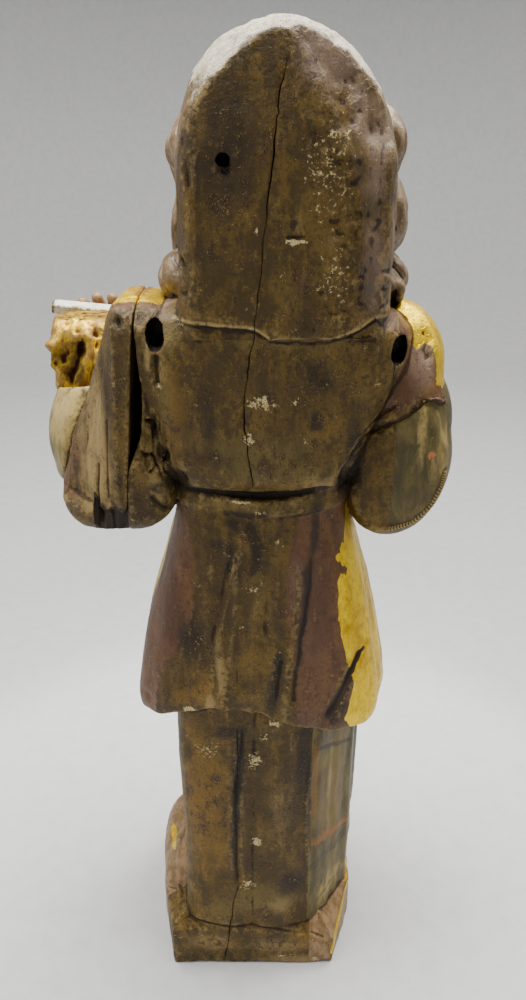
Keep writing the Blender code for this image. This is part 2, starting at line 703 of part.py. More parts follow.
def lute_form(name, spare=0.0):
    """Pear-shaped bowl with a flat belly, and the neck. spare makes it thicker all over, for its seat."""
    along, across, out = lute_axes()
    share = np.array([0.0, 0.12, 0.26, 0.42, 0.58, 0.72, 0.84, 0.93, 1.0])
    half, deep = smooth_rows(share, PEAR).T
    turn = np.linspace(0, math.pi, 9)
    front = np.array(NECK_ROOT) + out * 0.0055
    rings = []
    for s, w, d in zip(share, half * BODY_HALF_WIDTH, deep * BOWL_DEPTH):
        centre = front - along * (s * BODY_LENGTH + (2 * s - 1) * spare)
        wide, down = w + spare, d + spare
        bowl = [centre + across * np.cos(t) * wide - out * (np.sin(t) * down + 0.0015) for t in turn]
        belly_face = centre + out * (0.0006 + spare)
        edge = [belly_face - across * wide * k for k in (1.0, 0.5, 0.0, -0.5, -1.0)]
        rings.append(bowl + edge)
    body = skin(name, np.array(rings), PALE_WOOD)
    root = np.array(NECK_ROOT)
    middle = (root + np.array(NECK_END)) / 2
    path = [root - along * 0.018, middle, np.array(NECK_END) + along * spare]
    sizes = [(w + spare, h + spare) for w, h in ((0.0066, 0.0066), (0.0046, 0.0056), (0.0034, 0.0052))]
    neck_rings = sweep(path, sizes, 4, 12, up=tuple(out), crispness=6.0)
    boolean(body, [skin(name + "_neck", neck_rings, PALE_WOOD)], "UNION")
    return body


# ---------------------------------------------------------------- sockets and holes
def socket(name, place, wide, tall, depth, slant=(0, 0)):
    """An oval hole driven in from the back."""
    x, z = place
    path = [(x, BACK_PLANE + 0.012, z), (x + slant[0] * 0.5, BACK_PLANE - depth * 0.5, z + slant[1] * 0.5),
            (x + slant[0], BACK_PLANE - depth, z + slant[1])]
    sizes = [(wide / 2, tall / 2)] * 2 + [(wide * 0.42, tall * 0.42)]
    return skin(name, sweep(path, sizes, 4, 16))


def main():
    for obj in list(bpy.data.objects):
        bpy.data.objects.remove(obj)

    figure = robe()
    forms = [plinth(), robe_pool(), tunic(), belt(), torso(), head(), neck(), right_shoulder()]
    forms += [*feet(), *hair(), *right_arm(), upper_arm("elbow_form")]
    boolean(figure, forms, "UNION")
    cutters = [
        joint_block("joint_cutter", 0.2, True),
        socket("left_socket_cutter", LEFT_SOCKET, SOCKET_WIDTH, SOCKET_HEIGHT, SOCKET_DEPTH),
        socket("right_socket_cutter", RIGHT_SOCKET, SOCKET_WIDTH, SOCKET_HEIGHT, SOCKET_DEPTH),
        socket("head_hole_cutter", HEAD_HOLE, HEAD_HOLE_WIDTH, HEAD_HOLE_WIDTH * 1.15, HEAD_HOLE_DEPTH),
        lute_form("lute_seat_cutter", FIT_GAP),
    ]
    boolean(figure, cutters, "DIFFERENCE")

    arm = upper_arm("left_arm")
    boolean(arm, left_forearm(), "UNION")
    cutters = [joint_block("log_side_cutter", -0.2, False), lute_form("lute_grip_cutter", FIT_GAP)]
    boolean(arm, cutters, "DIFFERENCE")

    lute_form("lute")


main()
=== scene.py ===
# A carved angel musician in old wood, gilded and glazed in front and left raw behind.
# Metres, +Z up. The figure looks along -Y, so its sawn back faces +Y and its left hand is at +X.
import math

import bpy
import numpy as np
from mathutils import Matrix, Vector


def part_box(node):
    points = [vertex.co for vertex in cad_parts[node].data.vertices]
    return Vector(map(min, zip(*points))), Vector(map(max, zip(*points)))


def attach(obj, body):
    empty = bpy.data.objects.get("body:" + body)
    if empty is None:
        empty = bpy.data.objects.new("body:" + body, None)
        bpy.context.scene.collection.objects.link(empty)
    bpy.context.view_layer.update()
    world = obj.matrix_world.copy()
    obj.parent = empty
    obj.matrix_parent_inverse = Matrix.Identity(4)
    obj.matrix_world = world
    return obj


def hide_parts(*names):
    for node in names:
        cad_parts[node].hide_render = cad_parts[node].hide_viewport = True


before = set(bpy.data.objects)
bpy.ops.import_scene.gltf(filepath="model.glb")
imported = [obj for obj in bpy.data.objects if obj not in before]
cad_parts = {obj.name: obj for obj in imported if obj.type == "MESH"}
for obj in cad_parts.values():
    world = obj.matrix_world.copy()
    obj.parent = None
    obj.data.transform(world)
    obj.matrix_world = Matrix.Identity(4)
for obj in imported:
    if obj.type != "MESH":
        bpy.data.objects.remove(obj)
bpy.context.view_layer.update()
fullTurn = 2 * math.pi
figureLow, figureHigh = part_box("angel_figure")
coarser = 1  # a draft is carved with larger voxels and fewer triangles
fewer = 1
print("frame loaded, figure", round(figureHigh.z - figureLow.z, 3), "m tall")


# numbers and noise

hashPrimes = (73856093, 19349663, 83492791, 40503)  # scatter the cells of the noise along x, y, z and seed
hashMixers = (1274126177, 668265263)
hashTop = 0x7FFFFFFF


def metres(table):
    # tables are written in tenths of a millimetre: every number of one, however deep, divided by 10000
    return type(table)(metres(part) for part in table) if isinstance(table, (list, tuple)) else table / 10000


def throughRows(at, rows):
    # A smooth cubic through rows of numbers keyed by their first value:
    # value = h0*v0 + h1*span*slope0 + h2*v1 + h3*span*slope1, with the usual four Hermite weights of t.
    rows = np.array(rows, float)
    keys, values = rows[:, 0], rows[:, 1:]
    slopes = np.gradient(values, keys, axis=0)
    at = np.clip(np.asarray(at, float), keys[0], keys[-1])
    i = np.clip(np.searchsorted(keys, at, side="right") - 1, 0, len(keys) - 2)
    span = (keys[i + 1] - keys[i])[:, None]
    t = ((at - keys[i]) / span[:, 0])[:, None]
    return (
        (2 * t**3 - 3 * t**2 + 1) * values[i]
        + (t**3 - 2 * t**2 + t) * span * slopes[i]
        + (3 * t**2 - 2 * t**3) * values[i + 1]
        + (t**3 - t**2) * span * slopes[i + 1]
    )


def borders(at, rows):
    # each further column of a table, straight between its rows
    rows = np.array(rows)
    return [np.interp(at, rows[:, 0], column) for column in rows.T[1:]]


def rise(value, low, high):
    # 0 below low, 1 above high and 3t^2 - 2t^3 between
    t = np.clip((value - low) / (high - low), 0, 1)
    return t * t * (3 - 2 * t)


def bell(distance, width):
    return np.exp(-((distance / width) ** 2))


def halfTurned(angle):
    return (angle + math.pi) % fullTurn - math.pi


def noise(points, size, seed, octaves=1, stretch=(1, 1, 1)):
    # Value noise from -1 to 1: each whole cell gets a hashed number, blended by 3t^2 - 2t^3 along each
    # axis, and every octave has half the cell and half the strength of the one before.
    total, strength, most = 0.0, 1.0, 0.0
    scaled = points * (np.array(stretch) / size)
    for octave in range(octaves):
        cell = np.floor(scaled).astype(np.int64)
        t = scaled - cell
        t = t * t * (3 - 2 * t)
        value = 0.0
        for corner in range(8):
            step = np.array([corner & 1, corner >> 1 & 1, corner >> 2 & 1])
            x, y, z = (cell + step).T
            mixed = (seed + octave) * hashPrimes[3]
            for axis, prime in zip((x, y, z), hashPrimes):
                mixed = mixed ^ (axis * prime)
            mixed = (mixed ^ (mixed >> 13)) * hashMixers[0] & hashTop
            mixed = (mixed ^ (mixed >> 11)) * hashMixers[1] & hashTop
            weight = np.prod(np.where(step, t, 1 - t), axis=1)
            value = value + weight * (mixed / (hashTop // 2) - 1)
        total = total + value * strength
        most += strength
        strength *= 0.5
        scaled = scaled * 2 + 17.3
    return total / most


def lineDistance(points, path, weights=(1, 1, 1)):
    # Distance from each point to a path of straight runs, and the share of the path passed there.
    # A weight of 0 leaves that axis out, so a line drawn on the back reaches through.
    path = np.array(path, float)
    if path.shape[1] == 2:
        path, weights = np.insert(path, 1, 0.0, axis=1), (1, 0, 1)
    near = np.full(len(points), np.inf)
    share = np.zeros(len(points))
    scaled, path = points * weights, path * weights
    for k in range(len(path) - 1):
        run = path[k + 1] - path[k]
        t = np.clip((scaled - path[k]) @ run / (run @ run), 0, 1)
        away = np.linalg.norm(scaled - path[k] - t[:, None] * run, axis=1)
        closer = away < near
        near = np.where(closer, away, near)
        share = np.where(closer, (k + t) / (len(path) - 1), share)
    return near, share


# forms: each is a name and a grid of rings, closed at both ends later

def polygonRadius(angle, faces, crispness):
    # The radius of a polygon with rounded corners, n being its crispness:
    # (sum over faces of (cos(angle - direction)/distance)^n)^(-1/n)
    total = 0
    for direction, distance in faces:
        total = total + (np.clip(np.cos(angle - direction), 0, None) / distance) ** crispness
    return total ** (-1 / crispness)


def column(centre, stations, levels, around, crispness=4.0, bevels=(), relief=None, lean=(0, 0), turn=None):
    # Rings at the given levels; a station is (height, left, right, back, front). The radius comes from
    # polygonRadius plus relief(angle, level), and x, y are the centre plus the radius times cos and sin.
    levels = np.asarray(levels, float)
    angle = (np.arange(around) * fullTurn / around if turn is None else turn)[None, :]
    left, right, back, front = throughRows(levels, stations).T[:, :, None]
    sharp = np.broadcast_to(np.asarray(crispness, float), len(levels))[:, None]
    drop = (levels.max() - levels)[:, None]
    x0, y0 = centre[0] + lean[0] * drop, centre[1] + lean[1] * drop
    faces = [(0.0, left - x0), (math.pi / 2, back - y0), (math.pi, x0 - right), (1.5 * math.pi, y0 - front)]
    radius = polygonRadius(angle, faces + list(bevels), sharp)
    if relief is not None:
        radius = radius + relief(angle, levels[:, None])
    x = x0 + radius * np.cos(angle)
    y = y0 + radius * np.sin(angle)
    return np.stack([x, y, np.broadcast_to(levels[:, None], x.shape)], axis=2)


def carried(path, sizes, steps, around, up=(0, 0, 1), crispness=2.0, relief=None):
    # An outline carried along a smooth path: centre(t) + across*w(t)*r*cos(a) + above*h(t)*r*sin(a).
    # relief(angle, t) multiplies the outline.
    path = np.array(path, float)
    keys = np.linspace(0, 1, len(path))
    t = np.linspace(0, 1, steps)
    centre = throughRows(t, np.column_stack([keys, path]))
    size = throughRows(t, np.column_stack([keys, np.array(sizes, float)]))
    forward = np.gradient(centre, axis=0)
    forward /= np.linalg.norm(forward, axis=1)[:, None]
    across = np.cross(forward, np.array(up, float))
    across /= np.linalg.norm(across, axis=1)[:, None]
    above = np.cross(across, forward)
    angle = np.arange(around) * fullTurn / around
    radius = np.broadcast_to(
        polygonRadius(angle, [(k * math.pi / 2, 1.0) for k in range(4)], crispness), (steps, around)
    )
    if relief is not None:
        radius = radius * relief(angle[None, :], t[:, None])
    wide = (radius * np.cos(angle) * size[:, :1])[:, :, None]
    tall = (radius * np.sin(angle) * size[:, 1:2])[:, :, None]
    return centre[:, None] + wide * across[:, None] + tall * above[:, None]


def rounded(rings, steps=5):
    # The ends of a carried form drawn in to domes: each end ring is repeated, shrinking as a quarter circle.
    def dome(end, inner):
        middle = end.mean(0)
        reach = np.linalg.norm(end - middle, axis=1).mean()
        out = middle - inner.mean(0)
        out *= reach * 0.8 / np.linalg.norm(out)
        t = np.linspace(0, 1, steps + 1)[1:, None, None] * math.pi / 2 * 0.92
        return middle + (end - middle)[None] * np.cos(t) + out[None, None] * np.sin(t)
    return np.concatenate([dome(rings[0], rings[1])[::-1], rings, dome(rings[-1], rings[-2])])


def egg(centre, radii, rows=30, around=48, boxy=1.0, relief=None):
    # An ellipsoid, pole to pole along Z: x, y, z are the radii times cos(up)*cos(a), cos(up)*sin(a), sin(up).
    # boxy under 1 squares its shoulders, and relief(angle, up) multiplies it.
    def squared(value):
        return np.sign(value) * np.abs(value) ** boxy
    up = np.linspace(-math.pi / 2, math.pi / 2, rows + 2)[1:-1][:, None]
    angle = (np.arange(around) * fullTurn / around)[None, :]
    grown = 1.0 if relief is None else relief(angle, up)
    x = squared(np.cos(up)) * squared(np.cos(angle)) * radii[0] * grown
    y = squared(np.cos(up)) * squared(np.sin(angle)) * radii[1] * grown
    z = squared(np.sin(up)) * radii[2] * grown * np.ones_like(angle)
    return np.stack([x, y, z], axis=2) + np.array(centre)


def strands(count, twist, depth, sharp=1.6):
    # Grooves that wind round a lock: 1 - depth * (1 - |cos((count*angle + twist*t)/2)|)^sharp
    def relief(angle, t):
        return 1 - depth * (1 - np.abs(np.cos((count * angle + twist * t) / 2))) ** sharp
    return relief


# meshes

def closedMesh(rings):
    # points and triangles of one grid of rings, each end closed by a fan to its middle, facing outwards
    count, around = rings.shape[:2]
    points = np.concatenate([rings.reshape(-1, 3), rings[:1].mean(1), rings[-1:].mean(1)])
    ring = (np.arange(count - 1) * around)[:, None]
    here = np.arange(around)[None, :]
    following = (here + 1) % around
    a, b = ring + here, ring + following
    c, d = b + around, a + around
    sides = np.concatenate([np.stack([a, b, c], 2).reshape(-1, 3), np.stack([a, c, d], 2).reshape(-1, 3)])
    first, last, top = count * around, count * around + 1, (count - 1) * around
    ends = [np.stack([np.full(around, first), following[0], here[0]], 1)]
    ends.append(np.stack([np.full(around, last), top + here[0], top + following[0]], 1))
    triangles = np.concatenate([sides, *ends])
    corners = points[triangles]
    if np.einsum("ij,ij->i", corners[:, 0], np.cross(corners[:, 1], corners[:, 2])).sum() < 0:
        triangles = triangles[:, ::-1]
    return points, triangles


def newMesh(name, points, triangles):
    mesh = bpy.data.meshes.new(name)
    mesh.vertices.add(len(points))
    mesh.vertices.foreach_set("co", np.asarray(points, np.float32).ravel())
    mesh.loops.add(triangles.size)
    mesh.loops.foreach_set("vertex_index", np.asarray(triangles, np.int32).ravel())
    mesh.polygons.add(len(triangles))
    mesh.polygons.foreach_set("loop_start", np.arange(0, triangles.size, 3, dtype=np.int32))
    mesh.update(calc_edges=True)
    obj = bpy.data.objects.new(name, mesh)
    bpy.context.scene.collection.objects.link(obj)
    return obj


def stacked(forms):
    # one point list and one triangle list for all the forms, and the number of each point's form
    points, triangles, marks, start = [], [], [], 0
    for index, (_, rings) in enumerate(forms):
        p, t = closedMesh(rings)
        points.append(p)
        triangles.append(t + start)
        marks.append(np.full(len(p), index, np.float32))
        start += len(p)
    return np.concatenate(points), np.concatenate(triangles), np.concatenate(marks)


def setField(mesh, name, values):
    field = mesh.attributes.get(name) or mesh.attributes.new(name, "FLOAT", "POINT")
    field.data.foreach_set("value", np.asarray(values, np.float32))


def getField(mesh, name):
    values = np.zeros(len(mesh.vertices), np.float32)
    mesh.attributes[name].data.foreach_get("value", values)
    return values


def getPoints(mesh):
    points = np.zeros(len(mesh.vertices) * 3, np.float32)
    mesh.vertices.foreach_get("co", points)
    return points.reshape(-1, 3).astype(float)


def setPoints(mesh, points):
    mesh.vertices.foreach_set("co", np.asarray(points, np.float32).ravel())
    mesh.update()


def getNormals(mesh):
    normals = np.zeros(len(mesh.vertices) * 3, np.float32)
    mesh.vertex_normals.foreach_get("vector", normals)
    return normals.reshape(-1, 3).astype(float)


def getEdges(mesh):
    edges = np.zeros(len(mesh.edges) * 2, np.int32)
    mesh.edges.foreach_get("vertices", edges)
    return edges.reshape(-1, 2)


def relaxed(values, edges, rounds, amount=1.0):
    # Each round moves a vertex's value towards the mean of its neighbours'
    values = np.array(values, float)
    flat = values.ndim == 1
    if flat:
        values = values[:, None]
    amount = np.broadcast_to(np.asarray(amount, float), len(values))[:, None]
    moving = amount[:, 0] > 0
    edges = edges[moving[edges].any(axis=1)]  # what doesn't move needs no neighbours
    a, b = edges.T
    near = np.maximum(np.bincount(edges.ravel(), minlength=len(values)), 1)[:, None]
    for _ in range(rounds):
        total = np.stack([
            np.bincount(a, column[b], len(values)) + np.bincount(b, column[a], len(values))
            for column in values.T
        ], axis=1)
        values = values + amount * (total / near - values)
    return values[:, 0] if flat else values


def fused(name, forms, voxel):
    # all the forms of one block of wood made one skin; "form" keeps which form each point came from
    points, triangles, marks = stacked(forms)
    obj = newMesh(name, points, triangles)
    setField(obj.data, "form", marks)
    obj.data.remesh_voxel_size = voxel
    obj.data.remesh_voxel_adaptivity = 0
    obj.data.use_remesh_preserve_volume = False
    obj.data.use_remesh_preserve_attributes = True
    bpy.context.view_layer.objects.active = obj
    bpy.ops.object.voxel_remesh()
    print(name, "fused:", len(obj.data.vertices), "points")
    return obj


def applied(obj):
    # the object's mesh with its modifiers carried out
    graph = bpy.context.evaluated_depsgraph_get()
    mesh = bpy.data.meshes.new_from_object(obj.evaluated_get(graph))
    old = obj.data
    obj.modifiers.clear()
    obj.data = mesh
    bpy.data.meshes.remove(old)
    return obj


def thinned(obj, triangles):
    # collapsed to about that many triangles, flat places first
    now = sum(len(face.vertices) - 2 for face in obj.data.polygons)
    if now > triangles:
        step = obj.modifiers.new("thin", "DECIMATE")
        step.ratio = triangles / now
        applied(obj)
    return obj


def cut(obj, cutters):
    # each cutter, a grid of rings or a closed object, taken out of the object; what a grid lays bare is
    # painted dark, as shade inside the cut
    group = bpy.data.collections.new(obj.name + "_cutters")
    made = [
        newMesh(obj.name + "_cutter", *closedMesh(cutter)) if isinstance(cutter, np.ndarray) else cutter
        for cutter in cutters
    ]
    for cutter, given in zip(made, cutters):
        if isinstance(given, np.ndarray):
            setField(cutter.data, "sunkInShade", np.ones(len(cutter.data.vertices)))
        group.objects.link(cutter)
    step = obj.modifiers.new("cut", "BOOLEAN")
    step.operation = "DIFFERENCE"
    step.operand_type = "COLLECTION"
    step.collection = group
    step.solver = "MANIFOLD"
    applied(obj)
    for cutter in made:
        bpy.data.objects.remove(cutter)
    bpy.data.collections.remove(group)
    return obj


# the log: plinth, robe, tunic, torso, head and right arm

figure = {
    "voxel": 0.00085,         # fineness of the carving
    "triangles": 192000,
    "backPlane": 0.0745,      # the sawn back
    "backLean": 0.09,         # how fast it slopes forward over the crown
    "crownStart": 0.600,
    "plinthHeight": 0.042,
    "waist": 0.402,
    "beltWidth": 0.0150,
    "headCentre": (-0.021, 0.004, 0.597),
    "headTurn": math.radians(-7),
}
joint = {  # the glue joint of the left arm, sprung open at the back
    "top": (0.0629, 0.518),
    "lean": 0.0986,
    "gap": 0.0003,
    "opening": 0.0068,
    "low": 0.366,
    "high": 0.540,
}


def jointX(height):
    return joint["top"][0] + joint["lean"] * (joint["top"][1] - height)


def onLogSide(rings):
    # x held to the joint plane less its opening: opening * rise(z) * (1 - rise(z)) * rise(y)
    x, y, z = np.moveaxis(rings, 2, 0)
    opened = rise(z, 0.419, 0.450) * (1 - rise(z, 0.462, 0.518)) * rise(y, -0.015, 0.05)
    limit = jointX(z) - joint["gap"] - joint["opening"] * opened
    inside = (z > joint["low"]) & (z < joint["high"])
    return np.stack([np.where(inside, np.minimum(x, limit), x), y, z], axis=2)


def onArmSide(rings):
    x, y, z = np.moveaxis(rings, 2, 0)
    return np.stack([np.maximum(x, jointX(z)), y, z], axis=2)


def plinthForm():
    # A flat-sided block: its outline, drawn in towards the top, then a low dome of ground
    outline = np.array([
        (0.0625, 0.0712), (-0.0635, 0.0712), (-0.0800, 0.022), (-0.0800, -0.046),
        (-0.0460, -0.0885), (0.0460, -0.0885), (0.0770, -0.046), (0.0745, 0.022),
    ])
    perSide = 26
    share = np.arange(perSide)[None, :, None] / perSide
    ground = (outline[:, None] * (1 - share) + np.roll(outline, -1, 0)[:, None] * share).reshape(-1, 2)
    chip = 0.021 * rise(-ground[:, 0], 0.02, 0.064) * rise(ground[:, 1], 0.02, 0.071)
    top = figure["plinthHeight"] + 0.0012 * np.sin(ground[:, 0] * 90) - chip
    rings = []
    for drawn, height, share in (
        (1, 0, 0), (1, 0.002, 0), (1, 0.012, 0), (1, 0.022, 0), (1, -0.004, 1), (0.992, -0.0012, 1),
        (0.975, 0, 1), (0.93, 0.0026, 1), (0.87, 0.0055, 1), (0.80, 0.008, 1), (0.5, 0.012, 1),
    ):
        worn = chip * 0.6 * (1 - drawn) / 0.2
        level = top + height + worn if share else np.minimum(height, top - 0.006)
        rings.append(np.column_stack([ground * drawn, np.broadcast_to(level, len(ground))]))
    return np.array(rings)


robe = {
    "centre": (-0.012, 0.010),
    "stations": metres([  # height, left, right, back, front
        (200, 535, -810, 705, -620),
        (600, 530, -830, 702, -635),
        (1000, 515, -850, 695, -600),
        (2000, 530, -870, 685, -580),
        (3000, 520, -820, 660, -560),
    ]),
    "bevels": [(math.radians(141), 0.0610), (math.radians(228), 0.0690), (math.radians(312), 0.0690)],
    "folds": [  # degrees at the bottom and the top, width, depth in tenths of a millimetre
        (77, 80, 0.10, -18), (60, 62, 0.20, 12), (100, 99, 0.16, 12), (124, 128, 0.07, 10),
        (146, 142, 0.06, -8), (168, 160, 0.06, 22), (184, 178, 0.05, -40), (205, 196, 0.08, 30),
        (221, 214, 0.05, -48), (236, 230, 0.08, 42), (253, 249, 0.05, -62), (268, 266, 0.07, 30),
        (283, 281, 0.05, -56), (298, 293, 0.08, 42), (316, 312, 0.06, -62), (333, 328, 0.07, 34),
        (347, 344, 0.06, -30), (25, 22, 0.07, -22),
    ],
}


def foldRelief(folds, full):
    # the sum over folds of depth * exp(-((angle - place)/width)^2), each place moving with the height
    def relief(angle, height):
        share = np.clip(height / full, 0, 1)
        total = 0
        for low, high, width, depth in folds:
            place = math.radians(low) * (1 - share) + math.radians(high) * share
            sway = 0.03 * np.sin(share * 5 + low) * (abs(low - 90) > 45)
            total = total + metres(depth) * bell(halfTurned(angle - place - sway), width)
        return total
    return relief


def robeForm():
    def relief(angle, height):
        front = rise(-np.sin(angle), -0.1, 0.35)
        breaks = 0.0022 * np.sin(height * 130 + 5 * np.cos(2 * angle)) * rise(0.14 - height, 0, 0.07) * front
        return foldRelief(robe["folds"], 0.26)(angle, height) + breaks
    levels = np.linspace(0.020, 0.300, 120)
    return column(robe["centre"], robe["stations"], levels, 300, 7.0, robe["bevels"], relief)


toes = metres([(95, 40), (100, 31), (90, 29), (78, 27), (62, 25)])  # from the great toe: length, radius


def footForms():
    made = []
    for side, turn in ((1, 0.3), (-1, -0.25)):
        x = -0.012 + side * 0.027
        path = [(x, -0.030, 0.062), (x + turn * 0.014, -0.050, 0.0595), (x + turn * 0.035, -0.069, 0.0535)]
        sizes = metres([(120, 140), (128, 105), (125, 62)])
        made.append(("foot", rounded(carried(path, sizes, 16, 32))))
        for k, (long, thick) in enumerate(toes):
            x0 = x + turn * 0.035 + (k - 2) * 0.0052 * -side
            path = [
                (x0, -0.070 + abs(k - 1) * 0.0011, 0.0525),
                (x0 + turn * 0.003, -0.0705 - long * 0.6, 0.0515),
                (x0 + turn * 0.006, -0.0710 - long, 0.0500),
            ]
            sizes = [(thick, thick), (thick, thick), (thick * 0.85, thick * 0.8)]
            made.append(("foot", rounded(carried(path, sizes, 8, 16))))
    return made


def lumpForm():
    # robe cloth heaped on the ground at the left
    def relief(angle, up):
        waves = 1 + 0.05 * np.sin(3 * angle + 4 * up) * np.cos(up)
        return waves - 0.05 * bell(halfTurned(angle - 0.35), 0.25)
    return egg((0.0455, -0.002, 0.0455), (0.0295, 0.046, 0.0415), 50, 90, 0.75, relief)


tunic = {
    "centre": (-0.007, 0.012),
    "stations": [  # share of the way down from the waist, then the sides
        (0.000, 0.0460, -0.0610, 0.0630, -0.0460),
        (0.130, 0.0480, -0.0640, 0.0655, -0.0500),
        (0.320, 0.0565, -0.0735, 0.0680, -0.0580),
        (0.580, 0.0678, -0.0842, 0.0705, -0.0680),
        (0.820, 0.0755, -0.0912, 0.0725, -0.0760),
        (0.960, 0.0785, -0.0935, 0.0732, -0.0800),
        (1.000, 0.0775, -0.0925, 0.0722, -0.0795),
    ],
    "folds": [  # degrees at the waist and the hem, width, depth at the hem in tenths of a millimetre
        (20, 24, 0.11, 20), (52, 50, 0.10, -20), (80, 68, 0.06, 22), (98, 88, 0.08, -16),
        (114, 106, 0.06, 12), (138, 131, 0.08, 18), (160, 157, 0.07, -36), (176, 174, 0.06, 22),
        (200, 196, 0.08, -52), (214, 210, 0.06, 40), (228, 226, 0.05, -60), (243, 240, 0.07, 46),
        (256, 256, 0.05, -64), (268, 269, 0.07, 46), (281, 285, 0.05, -66), (296, 300, 0.07, 50),
        (310, 316, 0.05, -56), (325, 331, 0.07, 44), (340, 346, 0.05, -40), (354, 359, 0.05, 24),
    ],
    "hem": [  # degrees round from the left side, height of the hem
        (0, 0.2380), (30, 0.2430), (52, 0.2530), (66, 0.2570), (80, 0.2550), (94, 0.2490), (110, 0.2430),
        (126, 0.2385), (138, 0.2375), (152, 0.2385), (180, 0.2370), (215, 0.2340), (240, 0.2260),
        (262, 0.2350), (288, 0.2250), (318, 0.2340), (345, 0.2320), (360, 0.2380),
    ],
}


def tunicForm():
    # a flaring column whose last rings turn in under the hem
    share = np.concatenate([np.linspace(0, 0.955, 110), [0.975, 0.99, 1.0]])
    around = 340
    angle = np.arange(around) * fullTurn / around
    folds = foldRelief(tunic["folds"], 1.0)

    def relief(angle, down):
        # the folds' places are given from the waist down, so low and high change over
        return folds(angle, down) * rise(down, 0.0, 0.75)
    rings = column(tunic["centre"], tunic["stations"], share, around, 3.8, [], relief)
    top = figure["waist"] + 0.004
    hem = throughRows(np.degrees(angle), tunic["hem"])[:, 0] - 0.0008 * np.sin(angle * 23)
    rings[:, :, 2] = top + (hem[None, :] - top) * share[:, None]
    middle = np.array([*tunic["centre"], 0])
    inward = [(0.985, -12), (0.965, -10), (0.945, 10), (0.90, 30), (0.60, 100), (0.3, 120)]
    under = [middle + (rings[-1] - middle) * (k, k, 1) + (0, 0, metres(lift)) for k, lift in inward]
    return np.concatenate([rings, under])


def beltForm():
    # a flat band tied round the waist, sagging a little at the middle of the back
    around = 260
    angle = np.arange(around) * fullTurn / around
    ring = column(tunic["centre"], tunic["stations"], [0.02, 0.021], around, 3.6)[0]
    middle = np.array([*tunic["centre"], 0])
    away = (ring - middle) * (1, 1, 0)
    away /= np.linalg.norm(away, axis=1)[:, None]
    lift = 0.006 * np.abs(np.cos(angle)) ** 1.5 + 0.0008 * np.sin(angle * 7)
    half = figure["beltWidth"] / 2
    rings = []
    for t in np.linspace(-1, 1, 15):
        level = ring + away * (0.0028 * (1 - t**6) - 0.0004 + 0.0005 * np.sin(angle * 5 + 2 * t)[:, None])
        level[:, 2] = figure["waist"] + lift + t * half
        rings.append(level)
    return np.array(rings)


torso = {
    "centre": (-0.010, 0.014),
    "stations": metres([  # height, left, right, back, front
        (3960, 440, -590, 600, -440),
        (4105, 450, -600, 620, -470),
        (4160, 480, -625, 672, -480),
        (4400, 570, -710, 708, -500),
        (4680, 660, -830, 718, -500),
        (4920, 700, -930, 722, -450),
        (5080, 660, -900, 715, -350),
        (5180, 480, -740, 650, -210),
        (5240, 260, -460, 500, -120),
    ]),
}


def torsoForm():
    def relief(angle, height):
        # folds of the blouse over the chest, drawn in towards the belt
        front = rise(-np.sin(angle), 0.2, 0.6)
        spread = 1 + (height - 0.40) * 3
        pleats = np.cos(halfTurned(angle - 1.5 * math.pi) * 11 / spread)
        return front * 0.0013 * pleats * rise(0.49 - height, 0, 0.05)
    levels = np.concatenate([np.linspace(0.396, 0.5, 60), np.linspace(0.502, 0.524, 16)])
    return column(torso["centre"], torso["stations"], levels, 260, 4.6, relief=relief)


face = {
    "profile": metres([  # height above the head's centre, half width, front
        (-580, 120, 400), (-550, 175, 535), (-480, 245, 585), (-340, 320, 592),
        (-200, 375, 590), (-40, 395, 580), (80, 400, 590), (240, 390, 600),
        (400, 340, 540), (500, 250, 420), (560, 120, 240),
    ]),
    "features": metres([  # sideways, height, width, tall, outwards: both sides unless sideways is 0
        (0, -185, 52, 52, 84),      # tip of the nose
        (0, -50, 40, 120, 52),      # bridge
        (60, -208, 30, 34, 36),     # wings
        (34, -238, 18, 12, -22),    # nostrils
        (0, -285, 16, 40, -8),      # groove over the lip
        (45, -328, 60, 20, 24),     # upper lip
        (0, -392, 80, 24, 30),      # lower lip
        (0, -357, 98, 8, -20),      # between the lips
        (108, -355, 20, 18, -12),   # corners of the mouth
        (0, -438, 90, 26, -20),     # hollow under the lip
        (0, -505, 92, 50, 34),      # chin
        (165, 10, 100, 62, -56),    # eye sockets
        (170, 110, 120, 30, 16),    # brows
        (230, -190, 110, 110, 20),  # cheeks
    ]),
    "eye": metres((165, 0, 80, 42)),  # sideways, height, half width, half height
}


